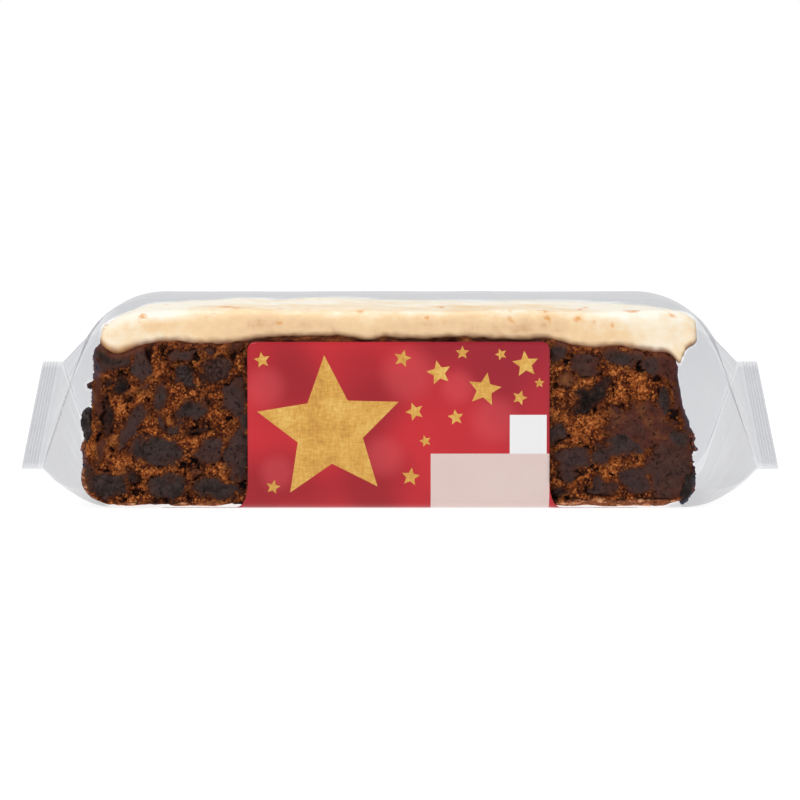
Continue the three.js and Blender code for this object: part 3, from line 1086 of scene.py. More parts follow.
# %% Make the cake's finish
def cake_finish(name="cake_crumb"):
    """Crumb, fruit and crust, mixed by the marks, with painted shade in the gaps and brown under the icing.
    """
    look = Finish(name)
    fruit = look.attribute("fruit")
    colour = look.mix(fruit, crumb_colour(look), flesh_colour(look))
    colour = look.mix(look.attribute("crust"), colour, crust_colour(look))
    # Painted shade: near black in the holes, cracks, gaps between grains and the crust's seam.
    colour = look.mix(look.attribute("depth").step(0.1, 0.95), colour, GAP_SHADE)
    colour = look.mix(look.attribute("soaked") * 0.45, colour, SOAKED_COLOUR)
    grit = look.noise(0.35, detail=2.0)
    shader = look.gloss(
        Base_Color=colour, Roughness=0.72 - fruit * 0.28, Specular_IOR_Level=0.05,
        Normal=look.bump(grit * (1.0 - fruit * 0.75), 0.16),
    )
    return look.finish_with(shader)


crumb_and_fruit = cake_finish()
print(f"{crumb_and_fruit.name}: {len(crumb_and_fruit.node_tree.nodes)} nodes")

# %% [markdown]
# ## The slab in one mesh
# The slab is one closed mesh from its foot to just under the icing. Its underside rests on the film
# and is hardly seen, so a few shrinking rings and one flat face close it there. The relief could be
# left on everywhere, but the foot has to stay on the film and the top edge has to hide under the
# icing, so it is held back at both.

# %% Build the cake
UNDER_RINGS = 3
UNDER_SHRINK_X, UNDER_SHRINK_Y = 0.05, 0.2
WAY_DOWN = (0.0, 0.0, -1.0)
FOOT_RELIEF = (-0.6, 0.3)
UNDER_ICING_FADE = (-0.9, 0.1)

under_points = []
for ring in range(UNDER_RINGS, 0, -1):
    ring_points = side_points[:columns].copy()
    ring_points[:, 0] *= 1.0 - UNDER_SHRINK_X * ring
    ring_points[:, 1] *= 1.0 - UNDER_SHRINK_Y * ring
    under_points.append(ring_points)
cake_points = np.vstack(under_points + [side_points])
cake_ways = np.vstack([np.tile(WAY_DOWN, (UNDER_RINGS * columns, 1)), side_ways])
relief, cake_marks = cake_surface(cake_points)
at_icing = smooth(cake_points[:, 2] - through(ICING_EDGE, cake_points[:, 0]), *UNDER_ICING_FADE)
relief = relief * (1.0 - 0.6 * at_icing) - 0.2 * at_icing
at_foot = cake_points[:, 2] < CAKE_FOOT + 0.01
relief = np.where(at_foot, np.clip(relief, *FOOT_RELIEF), relief)
cake_skin = cake_points + cake_ways * relief[:, None]
cake_rows = UNDER_RINGS + ROWS
cake_faces = closed_grid(cake_rows, columns).tolist() + end_faces(cake_rows, columns)
make_piece("cake", cake_skin, cake_faces, [crumb_and_fruit], marks=cake_marks)

# %% [markdown]
# ## Loose grains
# Relief alone makes the crumb look combed, because it can't undercut. On the real cut face single
# grains stand out and throw small dark gaps between them. Particles would scatter such grains, but
# they don't leave Blender. So the grains are joined into one mesh: each is a small uneven ball, half
# sunk in the crumb, and none is put on fruit or on the crust.

# %% Make one grain
def small_ball():
    """A ball of 20 triangles, from Blender's own icosahedron."""
    shape = bmesh.new()
    bmesh.ops.create_icosphere(shape, subdivisions=1, radius=1.0)
    points = np.array([point.co[:] for point in shape.verts])
    faces = np.array([[point.index for point in face.verts] for face in shape.faces])
    shape.free()
    return points, faces


ball, ball_faces = small_ball()
print(f"one grain has {len(ball)} points and {len(ball_faces)} triangles")

# %% Choose places for the grains
GRAIN_SPACING = 0.66
LOWEST_GRAIN = 1.5
BELOW_ICING = 0.5
MOST_FRUIT, MOST_CRUST, MOST_GAP_SHADE, MOST_MOIST = 0.6, 0.3, 0.5, 1.6


def pick_grain_places():
    """Points of the cake's skin that are crumb, spread so that no two grains crowd each other."""
    rng = np.random.default_rng(19)
    crumbly = (cake_marks["fruit"] < MOST_FRUIT) & (cake_marks["crust"] < MOST_CRUST)
    crumbly &= cake_marks["depth"] < MOST_GAP_SHADE
    highest = through(ICING_EDGE, cake_skin[:, 0]) - BELOW_ICING
    crumbly &= (cake_skin[:, 2] > LOWEST_GRAIN) & (cake_skin[:, 2] < highest)
    crumbly &= rng.uniform(0.0, MOST_MOIST, len(crumbly)) > cake_marks["moist"]
    behind_print = (cake_skin[:, 0] > LEFT_WINDOW_END) & (cake_skin[:, 0] < RIGHT_WINDOW_START)
    chosen = np.flatnonzero(crumbly & ~(behind_print & (cake_skin[:, 1] < 0.0)))
    rng.shuffle(chosen)
    taken, cells = [], set()
    for index in chosen:
        cell = tuple(np.floor(cake_skin[index] / GRAIN_SPACING).astype(int))
        if cell not in cells:
            cells.add(cell)
            taken.append(index)
    return np.array(taken)


grain_places = pick_grain_places()
print(f"{len(grain_places)} places for grains")

# %% Scatter the grains
GRAIN_COUNT = 9400
GRAIN_RADIUS = (0.16, 0.48)
GRAIN_STRETCH = (0.65, 1.3)
GRAIN_DENTS = (0.62, 1.3)
GRAIN_TONE = (0.15, 1.0)
GRAIN_SINK = 0.3


def scatter_grains(places):
    """Points, faces and marks of all the grains, those in the two front windows first."""
    rng = np.random.default_rng(23)
    in_window = cake_skin[places, 1] < FRONT_Y + 2.0
    places = np.concatenate([places[in_window], places[~in_window]])[:GRAIN_COUNT]
    count = len(places)
    radius = rng.uniform(*GRAIN_RADIUS, size=(count, 1, 1))
    stretch = rng.uniform(*GRAIN_STRETCH, size=(count, 1, 3))
    dents = rng.uniform(*GRAIN_DENTS, size=(count, len(ball), 1))
    centres = cake_skin[places] - cake_ways[places] * GRAIN_SINK * radius[:, 0]
    points = centres[:, None, :] + ball[None] * radius * stretch * dents
    faces = ball_faces[None] + (np.arange(count) * len(ball))[:, None, None]
    tone = np.repeat(rng.uniform(*GRAIN_TONE, size=count), len(ball))
    moist = np.repeat(cake_marks["moist"][places], len(ball))
    return points.reshape(-1, 3), faces.reshape(-1, 3).tolist(), {"tone": tone, "moist": moist}


grain_points, grain_faces, grain_marks = scatter_grains(grain_places)
make_piece(
    "crumbs", grain_points, grain_faces, [cake_finish("loose_grains")], marks=grain_marks
)

# %% [markdown]
# ## Whole fruit
# Most fruit is cut flush, but a few pieces stick out of the ends and the corners, with their skin
# whole: dark, wrinkled and a little shiny. The cut fruit lives in the cake's own surface, and that
# can't bulge past its edge. So these are balls of their own, squashed, turned and furrowed with the
# same noise, and half sunk in the cake.

# %% Pick the whole fruit
# Each fruit: x, y, z, its three half sizes, its turn in degrees, its kind.
PLACED_WHOLE = [
    (-76.4, -20.2, 20.2, 2.0, 3.4, 4.6, 3, SLATE),
    (-75.9, -20.5, 30.0, 1.1, 1.7, 0.9, 10, MAROON),
    (70.5, -23.1, 5.6, 1.9, 2.3, 4.6, -14, BLACK),
    (69.6, -19.0, 19.6, 1.4, 2.6, 2.0, 20, PLUM),
]
RANDOM_WHOLE = 22
WHOLE_FRONT_LIMIT = -18.0
WHOLE_LOWEST, WHOLE_HIGHEST = 4.0, 37.0
WHOLE_SINK = 0.6
WHOLE_SIZE, WHOLE_THIN = (1.2, 2.9), (1.0, 1.5)
WHOLE_TURN = 25.0


def pick_whole_fruit():
    """The placed fruit, and more at random on the ends and the back."""
    rng = np.random.default_rng(29)
    skin, ways = cake_skin, cake_ways
    open_place = skin[:, 1] > WHOLE_FRONT_LIMIT
    open_place &= (skin[:, 2] > WHOLE_LOWEST) & (skin[:, 2] < WHOLE_HIGHEST)
    chosen = rng.choice(np.flatnonzero(open_place), RANDOM_WHOLE, replace=False)
    found = list(PLACED_WHOLE)
    for index in chosen:
        place = skin[index] - WHOLE_SINK * ways[index]
        sizes = rng.uniform(*WHOLE_SIZE, size=3)
        sizes[np.abs(ways[index]).argmax()] = rng.uniform(*WHOLE_THIN)
        turn = rng.uniform(-WHOLE_TURN, WHOLE_TURN)
        found.append((*place, *sizes, turn, rng.choice((BLACK, SLATE, PLUM))))
    return found


picked_whole = pick_whole_fruit()
print(f"{len(picked_whole)} whole fruit, {len(PLACED_WHOLE)} of them placed by hand")

# %% Build the whole fruit
BALL_ROWS, BALL_COLUMNS = 26, 36
POLE_GAP = 0.06
SKIN_FURROWS = (1.3, 0.6)
FURROW_DEPTH = 0.22
DENT_SIZE, DENT_DEPTH = 2.2, 0.12


def ball_grid():
    """Points of a ball as rows of rings, with a small hole at each pole."""
    down = np.linspace(POLE_GAP, math.pi - POLE_GAP, BALL_ROWS)[:, None]
    turn = np.linspace(0.0, 2.0 * math.pi, BALL_COLUMNS, endpoint=False)[None]
    x, y = np.sin(down) * np.cos(turn), np.sin(down) * np.sin(turn)
    z = np.cos(down) * np.ones_like(turn)
    return np.stack([x, y, z], axis=-1).reshape(-1, 3)[::-1]


def build_whole_fruit():
    """Points, faces and marks of all the whole fruit, in one mesh."""
    ball = ball_grid()
    points, faces, kinds, furrows = [], [], [], []
    for x, y, z, half_x, half_y, half_z, turn, kind in picked_whole:
        place = np.array([x, y, z])
        size = np.array([half_x, half_y, half_z])
        skin = ball * size + place
        furrow = smooth(1.0 - np.abs(rough_lumps(skin, *SKIN_FURROWS, 81)), 0.5, 1.0)
        reach = 1.0 + DENT_DEPTH * lumps(skin, DENT_SIZE, 83) - FURROW_DEPTH * furrow
        start = len(points) * len(ball)
        faces += closed_grid(BALL_ROWS, BALL_COLUMNS, start).tolist()
        faces += end_faces(BALL_ROWS, BALL_COLUMNS, start)
        points.append(in_fruit_frame(ball * size * reach[:, None], (-turn, 0.0)) + place)
        kinds.append(np.full(len(ball), kind))
        furrows.append(furrow)
    return np.concatenate(points), faces, {"kind": np.concatenate(kinds), "furrow": np.concatenate(furrows)}


def fruit_skin():
    """The skin of whole fruit, with painted shade nearly black in its furrows."""
    look = Finish("fruit_skin")
    # Painted shade: the furrows, sunk in the mesh, are also painted nearly black.
    colour = look.mix(look.attribute("furrow") * 0.75, fruit_colour(look, 2.0, 0.9), ink(24, 14, 9))
    shader = look.gloss(
        Base_Color=colour, Roughness=0.4, Specular_IOR_Level=0.16,
        Normal=look.bump(look.noise(0.6, detail=3.0), 0.06),
    )
    return look.finish_with(shader)


whole_points, whole_faces, whole_marks = build_whole_fruit()
make_piece(
    "whole_fruit", whole_points, whole_faces, [fruit_skin()], marks=whole_marks
)

# %% [markdown]
# ## The icing
# The icing was poured over the cake while soft. It lies about 8 mm thick, rounds over at the front
# and the back, and sags past the cake's edge in low lobes. At the right it hangs over the end and
# curls under. A subdivided box could be pushed into this shape, but its lower edge has to follow
# the photographed line. So the icing is a loft: one rounded section after another, whose top and
# lower edge follow two drawn lines.

# %% Loft the icing
ICING_HALF_DEPTH = 25.1
ICING_INNER_DEPTH = 20.5
ICING_TOP_RADIUS, ICING_LIP_RADIUS = 4.4, 0.8
TOP_RADIUS_SHARE, LIP_RADIUS_SHARE, OVERLAP_SHARE = 0.55, 0.25, 0.4
ICING_STEP = 0.55
ICING_POINTS = 190
ICING_NOTCH = 0.28
THINNEST_ICING = 0.3
LIP_WIDTH, LIP_RISE = 1.6, 0.3
BACK_LOWER, BACK_SWAY, BACK_SWAY_SIZE = 0.4, 0.9, 13.0
END_LENGTH, END_STEPS = 8.0, 15
END_ROUNDING, END_NARROWING = 2.4, 0.6


def icing_stations():
    """Distances along the icing, closer together where its ends round off."""
    turn = np.linspace(0.0, math.pi / 2, END_STEPS + 1)[:-1]
    near = ICING_LEFT + END_LENGTH * (1.0 - np.cos(turn))
    far = ICING_RIGHT - END_LENGTH * (1.0 - np.cos(turn))
    return np.concatenate([
        near, np.arange(ICING_LEFT + END_LENGTH, ICING_RIGHT - END_LENGTH, ICING_STEP), far[::-1]
    ])


def even_ring(ring, count):
    """The same closed outline with points at equal distances, the first one kept."""
    closed = np.vstack([ring, ring[:1]])
    along = np.concatenate([[0.0], np.cumsum(np.linalg.norm(np.diff(closed, axis=0), axis=1))])
    at = np.linspace(0.0, along[-1], count, endpoint=False)
    return np.stack([np.interp(at, along, closed[:, axis]) for axis in range(2)], axis=1)


def icing_side(side, half, low, top):
    """One side of a section, from inside under the lip to the top: side is -1 in front, 1 behind."""
    tall = max(top - low, THINNEST_ICING)
    radius_top = min(ICING_TOP_RADIUS, tall * TOP_RADIUS_SHARE)
    radius_lip = min(ICING_LIP_RADIUS, tall * LIP_RADIUS_SHARE)
    inner_rise = min(ICING_OVERLAP, tall * OVERLAP_SHARE)
    part = [(side * ICING_INNER_DEPTH, low + inner_rise), (side * (half - LIP_WIDTH), low + LIP_RISE)]
    rounds = ((radius_lip, low + radius_lip, -90.0, 7), (radius_top, top - radius_top, 0.0, 15))
    for radius, centre, start, steps in rounds:
        for way in np.radians(np.linspace(start, start + 90.0, steps)):
            part.append((
                side * (half - radius + radius * math.cos(way)), centre + radius * math.sin(way)
            ))
    return part


def icing_section(x):
    """Points round the icing at one distance along it, as (y, z)."""
    here = np.array([x])
    top_front, top_back = [float(through(line, here)[0]) for line in (ICING_FRONT, ICING_BACK)]
    notch = rough_lumps(np.array([[x, 5.0, 5.0]]), 2.4, 1.1, 78)
    low_front = float(through(ICING_EDGE, here)[0]) + ICING_NOTCH * float(notch[0])
    sway = float(lumps(np.array([[x, 0.0, 0.0]]), BACK_SWAY_SIZE, 71)[0])
    low_back = low_front + BACK_SWAY * sway - BACK_LOWER
    from_end = min(x - ICING_LEFT, ICING_RIGHT - x)
    turned = 1.0 - min(from_end / END_ROUNDING, 1.0)
    half = ICING_HALF_DEPTH - END_ROUNDING * END_NARROWING * (1.0 - math.sqrt(1.0 - turned**2))
    front = icing_side(-1.0, half, low_front, top_front)
    back = icing_side(1.0, half, low_back, top_back)
    return even_ring(np.array(back + front[::-1]), ICING_POINTS)


icing_x = icing_stations()
icing_grid = np.array([np.column_stack([np.full(ICING_POINTS, x), icing_section(x)]) for x in icing_x])
icing_way = grid_normals(icing_grid).reshape(-1, 3)
icing_base = icing_grid.reshape(-1, 3)
print(f"{len(icing_x)} sections of {ICING_POINTS} points")

# %% [markdown]
# ## Ripples and marks on the icing
# Poured icing sets with slow ripples. Its face is creamy on top and tan down its front, towards its
# edge and in its middle, less so near the ends: partly its own peach tone and partly painted shade.
# Its lowest rim has soaked up the cake's brown, and toasted flecks lie on top. The flecks could be
# meshes of their own, but they are stains rather than lumps. So the tan with its painted shade, the
# stain at the left, the soaked rim and the flecks are marks at the points, and only the ripples move
# them.

# %% Ripple and mark the icing
# Toasted flecks: x, y, z, radius.
FLECKS = [
    (-62.9, -24.0, 47.0, 0.9), (-72.0, -22.0, 44.4, 0.7), (-43.0, -14.0, 48.9, 1.3),
    (-40.6, -17.0, 48.8, 1.0), (-29.6, -17.0, 48.8, 0.8), (-29.3, -24.6, 46.0, 0.6),
    (-9.8, -21.5, 48.4, 0.8), (6.6, -24.2, 46.7, 0.6), (10.2, -9.0, 48.8, 1.0),
    (21.2, -17.0, 48.8, 0.8), (35.4, -21.5, 48.3, 0.8), (36.1, -24.3, 46.6, 0.8),
    (43.4, -24.3, 46.6, 0.8), (44.6, -14.0, 48.8, 0.8), (46.3, -8.0, 48.8, 0.9),
    (56.8, -20.5, 48.5, 1.4), (66.5, -23.0, 47.2, 0.6), (52.0, -24.8, 45.0, 0.7),
]
FLECK_STRETCH = np.array([1.15, 3.2, 1.0])
ICING_RIPPLE = 0.35
STAIN_START, STAIN_END = 61.0, 66.5
SOAKED_HEIGHT = 1.75


def ripples():
    """How far each point of the icing is pushed out, in mm: less at the lip, nothing at the ends."""
    ripple = lumps(icing_base * (0.7, 1.0, 1.0), 9.0, 72) + 0.45 * lumps(icing_base, 3.6, 73)
    from_end = np.minimum(icing_base[:, 0] - icing_x[0], icing_x[-1] - icing_base[:, 0])
    off_lip = 0.3 + 0.7 * smooth(icing_base[:, 2], icing_edge + 0.5, icing_edge + 3.5)
    return ICING_RIPPLE * (ripple - 0.3) * smooth(from_end, 0.0, 3.0) * off_lip


def toasted(points, high_up):
    """Toasted spots, from 0 to 1: faint ones at random on top, and the placed flecks."""
    faint = lumps(points * (0.8, 0.35, 0.8), 3.4, 75) + 0.5 * lumps(points, 1.1, 76)
    mark = 0.6 * smooth(faint, 0.85, 1.2) * smooth(high_up, 0.35, 0.8)
    ragged = 0.8 * lumps(points, 1.0, 77)
    for x, y, z, radius in FLECKS:
        reach = np.linalg.norm((points - (x, y, z)) / (FLECK_STRETCH * radius), axis=1)
        mark = np.maximum(mark, 1.0 - smooth(reach + ragged, 0.4, 1.1))
    return 0.9 * mark


def icing_marks(points, high_up):
    """The marks that the finish reads: tan with painted shade, stain, flecks and the soaked rim."""
    x, y, z = points.T
    above_edge = z - icing_edge
    # Painted shade, together with the icing's own peach tone: tan down the front and towards the lower
    # edge, lighter towards the ends.
    low = 0.32 * smooth(-y, -12.0, 23.0) + 0.54 * (1.0 - smooth(z, icing_edge + 3.0, icing_top + 0.6))
    low -= 0.36 * smooth(np.abs(x), 36.0, 62.0)
    stain = smooth(-x, STAIN_START, STAIN_END) * (1.0 - smooth(above_edge, 0.4, 2.6))
    stain = np.maximum(stain, 0.35 * (1.0 - smooth(above_edge, 0.0, 1.6)))
    soaked = 1.0 - smooth(above_edge + 0.35 * lumps(points, 1.6, 74), 0.0, SOAKED_HEIGHT)
    return {"low": low, "stain": stain, "toast": toasted(points, high_up), "soaked": soaked}


icing_top = through(ICING_FRONT, icing_base[:, 0])
icing_edge = through(ICING_EDGE, icing_base[:, 0])
push = ripples()
print(f"ripples from {push.min():.2f} to {push.max():.2f} mm")

# %% Build the icing
def icing_finish():
    """Creamy to tan, the tan partly painted shade, with light that goes a little way into it."""
    look = Finish("icing")
    cloud = look.noise(13.0, detail=4.0, roughness=0.55, stretch=(0.55, 1.0, 1.5))
    mottle = look.noise(3.6, detail=3.0, roughness=0.6)
    # The low mark holds painted shade as well as the icing's peach tone.
    shade = look.attribute("low") * 0.8 + cloud * 1.5 + mottle * 0.7 - 1.1
    colour = look.ramp(shade, [
        (0.0, ink(255, 245, 228)), (0.25, ink(250, 230, 200)), (0.5, ink(244, 211, 165)),
        (0.75, ink(236, 200, 157)), (1.0, ink(212, 166, 120)),
    ])
    colour = look.mix(look.attribute("stain") * 0.85, colour, ink(190, 134, 62))
    colour = look.mix(look.attribute("soaked") * 0.9, colour, ink(122, 74, 44))
    grain = look.noise(0.7, detail=3.0)
    colour = look.mix(look.attribute("toast") * grain.step(0.25, 0.5), colour, ink(228, 156, 74))
    shader = look.gloss(
        Base_Color=colour, Roughness=0.48, Specular_IOR_Level=0.35,
        Subsurface_Weight=0.25, Subsurface_Radius=(1.0, 0.75, 0.5), Subsurface_Scale=0.0018,
        Normal=look.bump(look.noise(1.6, detail=3.0), 0.05),
    )
    return look.finish_with(shader)


high_up = smooth(icing_base[:, 2], icing_edge + 1.0, icing_top - 1.0)
icing_skin = icing_base + icing_way * push[:, None]
icing_faces = closed_grid(len(icing_x), ICING_POINTS).tolist() + end_faces(len(icing_x), ICING_POINTS)
make_piece(
    "icing", icing_skin, icing_faces, [icing_finish()], marks=icing_marks(icing_skin, high_up)
)

# %% [markdown]
# ## The print on the film
# The real film is printed before it is wrapped: a red panel with a gold star covers the front, and
# the same web runs on under the pack and up the back. Here the panel keeps those colours and sizes,
# with a plain design of its own: one upright star, a drift of small ones and two bare label fields.
# A picture could be laid on the film, but crisp regions cut in a mesh keep a sharp edge at any
# distance. They are drawn flat first. One number runs along the pack and the other round it, from
# the foot of the front panel under the pack and up the back; the front itself is below 0.

# %% Draw the panel flat
LOWER_BEND = 5.0
CORNER_ARC = ring_at[CORNER_POINTS - 1]
BACK_FOOT = ring_at[CORNER_POINTS + FACE_POINTS + CORNER_POINTS]
PANEL_LEFT, PANEL_RIGHT = -37.2, 36.5
PANEL_TOP_Z, BACK_TOP_Z = 41.05, 38.5
PANEL_TOP = LOWER_BEND - PANEL_TOP_Z
PANEL_RADIUS = 2.0
FLARE_WIDTH, FLARE_HEIGHT = 5.0, 9.0
UNDER_HALF = 59.5
UNDER_START = CORNER_ARC - 1.2
BACK_TOP = BACK_FOOT + BACK_TOP_Z - LOWER_BEND


def arc(centre, radius_x, radius_y, start, end, steps=10):
    """Points on part of an ellipse, from start to end in degrees."""
    ways = np.radians(np.linspace(start, end, steps))
    return [(centre[0] + radius_x * math.cos(w), centre[1] + radius_y * math.sin(w)) for w in ways]


def rounded_box(left, right, low, high, radius):
    """A box with round corners, as a flat loop."""
    points = []
    for x, y, start in ((right, high, 0), (left, high, 90), (left, low, 180), (right, low, 270)):
        centre_x = x - radius if x == right else x + radius
        centre_y = y - radius if y == high else y + radius
        points += arc((centre_x, centre_y), radius, radius, start, start + 90, 7)
    return points


def star(x, z, radius, turn=0.0, points=5, waist=0.46):
    """A plain star on the front, given by its height and drawn as a flat loop."""
    loop = []
    for step in range(2 * points):
        way = math.radians(90.0 + turn + 180.0 * step / points)
        reach = radius if step % 2 == 0 else radius * waist
        loop.append((x + reach * math.cos(way), LOWER_BEND - (z + reach * math.sin(way))))
    return loop


def panel_loop():
    """The printed web's outline: front panel, flared foot, underside and back panel."""
    radius = PANEL_RADIUS
    under_end = BACK_FOOT - UNDER_START
    corner_x, flare_x, under_x = PANEL_RIGHT - radius, PANEL_RIGHT + FLARE_WIDTH, UNDER_HALF - radius
    right = arc((corner_x, PANEL_TOP + radius), radius, radius, -90, 0)
    right += arc((flare_x, UNDER_START - FLARE_HEIGHT), FLARE_WIDTH, FLARE_HEIGHT, 180, 90)
    right += arc((under_x, UNDER_START + radius), radius, radius, -90, 0)
    right += arc((under_x, under_end - radius), radius, radius, 0, 90)
    right += arc((flare_x, under_end + FLARE_HEIGHT), FLARE_WIDTH, FLARE_HEIGHT, -90, -180)
    right += arc((corner_x, BACK_TOP - radius), radius, radius, 0, 90)
    left = [(-x if x > flare_x else PANEL_LEFT + PANEL_RIGHT - x, s) for x, s in right[::-1]]
    return right + left


print(f"print reaches from {PANEL_TOP:.1f} to {BACK_TOP:.1f} mm round the pack")

# %% Draw the design on the panel
def inside(loop, points):
    """Which points lie inside a loop, by counting the edges that a ray crosses."""
    corners = np.array(loop)
    found = np.zeros(len(points), dtype=bool)
    for (x1, y1), (x2, y2) in zip(corners, np.roll(corners, -1, axis=0)):
        spans = (y1 > points[:, 1]) != (y2 > points[:, 1])
        if y1 != y2:
            cross = x1 + (points[:, 1] - y1) / (y2 - y1) * (x2 - x1)
            found ^= spans & (points[:, 0] < cross)
    return found


RED, GOLD, WHITE, PINK, CREAM = range(5)
BIG_STAR = (-17.2, 19.6, 18.2, 4.0)
# Small stars: x, z, radius, turn in degrees.
SMALL_STARS = [
    (9.5, 33.5, 3.1, 12), (20.6, 29.4, 4.2, -10), (3.6, 24.0, 2.3, 20), (30.6, 35.6, 3.3, 6),
    (29.2, 27.4, 1.9, -18), (13.6, 22.6, 2.0, 8), (15.2, 38.4, 1.7, 0), (0.6, 37.0, 2.2, -14),
    (24.6, 38.0, 1.5, 20), (-33.6, 36.6, 2.0, 10), (-31.0, 5.5, 1.8, -12), (2.6, 8.0, 2.3, -8),
    (6.2, 16.8, 1.5, 16), (34.0, 31.0, 1.3, 0),
]
LABEL_LEFT, LABEL_TOP = 7.5, -8.7
BOX_LEFT, BOX_RIGHT, BOX_TOP = 26.8, 35.8, -18.2
LABEL_FOOT = CORNER_ARC - 0.4
WHITE_FIELD = [(BOX_LEFT, LABEL_TOP), (BOX_RIGHT, LABEL_TOP), (BOX_RIGHT, BOX_TOP), (BOX_LEFT, BOX_TOP)]
PINK_FIELD = [
    (LABEL_LEFT, LABEL_FOOT), (PANEL_RIGHT, LABEL_FOOT), (PANEL_RIGHT, LABEL_TOP), (LABEL_LEFT, LABEL_TOP)
]
BACK_FIELD = rounded_box(-31.0, 31.0, BACK_FOOT + 4.0, BACK_TOP - 4.0, 1.5)
inner_loops = [(star(*BIG_STAR), GOLD), (WHITE_FIELD, WHITE), (PINK_FIELD, PINK), (BACK_FIELD, CREAM)]
inner_loops += [(star(*place), GOLD) for place in SMALL_STARS]
print(f"{len(inner_loops)} figures on the panel")

# %% [markdown]
# ## Laying the print on the film
# The flat drawing is cut into triangles, with every loop as an edge, and laid on the film's own
# surface. A shrinkwrap modifier could press it on, but it would slide the points and the star would
# lose its straight edges. The film is a grid, so any flat point has its place between four of its
# points, and the print gets exactly there, a few hundredths of a millimetre outside the film.

# %% Cut the drawing into triangles
LATTICE_STEP = 2.0
BEND_STEP = 0.62
EDGE_STEP = 1.5
RIM_GAP = 0.7
SAME_POINT = 1e-5


def divide(loop):
    """The same loop with no edge longer than EDGE_STEP."""
    points = []
    for (x1, y1), (x2, y2) in zip(loop, loop[1:] + loop[:1]):
        parts = max(1, math.ceil(math.hypot(x2 - x1, y2 - y1) / EDGE_STEP))
        points += [(x1 + (x2 - x1) * i / parts, y1 + (y2 - y1) * i / parts) for i in range(parts)]
    return points


def print_points():
    """Points of all the loops and of a lattice that follows the film's bends."""
    points, edges = [], []
    for loop in [panel_loop()] + [inner for inner, kind in inner_loops]:
        divided = divide(loop)
        start, count = len(points), len(divided)
        points += divided
        edges += [(start + i, start + (i + 1) % count) for i in range(count)]
    rows = np.concatenate([
        np.arange(PANEL_TOP + RIM_GAP, 0.0, LATTICE_STEP),
        np.arange(0.0, CORNER_ARC, BEND_STEP),
        np.arange(CORNER_ARC, BACK_FOOT - CORNER_ARC, LATTICE_STEP),
        np.arange(BACK_FOOT - CORNER_ARC, BACK_FOOT, BEND_STEP),
        np.arange(BACK_FOOT, BACK_TOP, LATTICE_STEP),
    ])
    columns = np.arange(-UNDER_HALF + 1.0, UNDER_HALF, LATTICE_STEP)
    lattice = np.array([(x, s) for s in rows for x in columns])
    points += lattice[inside(panel_loop(), lattice)].tolist()
    return points, edges


drawn_points, drawn_edges = print_points()
drawn_points = [Vector(point) for point in drawn_points]
places, _, triangles, *_ = delaunay_2d_cdt(drawn_points, drawn_edges, [], 0, SAME_POINT)
places = np.array([point[:] for point in places])
middles = places[np.array(triangles)].mean(axis=1)
kinds = np.full(len(triangles), RED)
for loop, kind in inner_loops:
    kinds[inside(loop, middles)] = kind
kept = np.flatnonzero(inside(panel_loop(), middles))
print_faces = [list(triangles[index])[::-1] for index in kept]
print(f"{len(kept)} of {len(triangles)} triangles lie on the panel")

# %% Lay the print on the film
PRINT_OUTER, PRINT_INNER = 0.09, 0.03


def on_film(flat, lift):
    """Points of the flat drawing, laid on the film and lifted off it by so much."""
    round_at = np.mod(flat[:, 1], RING_LENGTH)
    station = np.clip(np.searchsorted(stations, flat[:, 0]) - 1, 0, len(stations) - 2)
    along = (flat[:, 0] - stations[station]) / (stations[station + 1] - stations[station])
    point = np.clip(np.searchsorted(ring_at, round_at, side="right") - 1, 0, len(ring_at) - 2)
    across = (round_at - ring_at[point]) / (ring_at[point + 1] - ring_at[point])
    following = (point + 1) % film_grid.shape[1]
    along, across = along[:, None], across[:, None]
    lifted = film_grid + film_normal * lift
    near = lifted[station, point] * (1 - across) + lifted[station, following] * across
    far = lifted[station + 1, point] * (1 - across) + lifted[station + 1, following] * across
    return near * (1 - along) + far * along


def shell(points, faces, kinds):
    """A thin closed sheet from flat triangles: an outer and an inner face joined at the rim."""
    count = len(points)
    edges = dict.fromkeys((a, b) for face in faces for a, b in zip(face, face[1:] + face[:1]))
    rim = [(a, b) for a, b in edges if (b, a) not in edges]
    every = faces + [[index + count for index in face[::-1]] for face in faces]
    every += [[b, a, a + count, b + count] for a, b in rim]
    both_sides = np.vstack([on_film(points, PRINT_OUTER), on_film(points, PRINT_INNER)])
    return both_sides, every, kinds + kinds + [RED] * len(rim)


print_shell, shell_faces, shell_kinds = shell(places, print_faces, kinds[kept].tolist())
print(f"{len(print_shell)} points on the film")

# %% [markdown]
# ## The inks
# The panel's red isn't flat: it runs from bright to crimson and holds soft spots of light. The gold
# looks woven, like foil on cloth. Both could be painted as pictures, but noise stretched two ways
# gives the weave, and soft distances from a few chosen points give the spots. So each ink stays a
# small material that can be read and changed.

# %% Make the inks
# Soft spots of light on the red: x, z, radius.
RED_GLOWS = [
    (2.0, 33.0, 9.0), (14.0, 30.0, 6.0), (-4.0, 13.0, 7.0),
    (23.0, 22.0, 8.0), (-33.0, 30.0, 7.0), (-30.0, 9.0, 6.0),
]
DEEP_RED, BRIGHT_RED = ink(158, 14, 30), ink(200, 32, 42)
CRIMSON, GLOW = ink(150, 18, 44), ink(226, 84, 88)
WEAVE_SIZE = 0.45


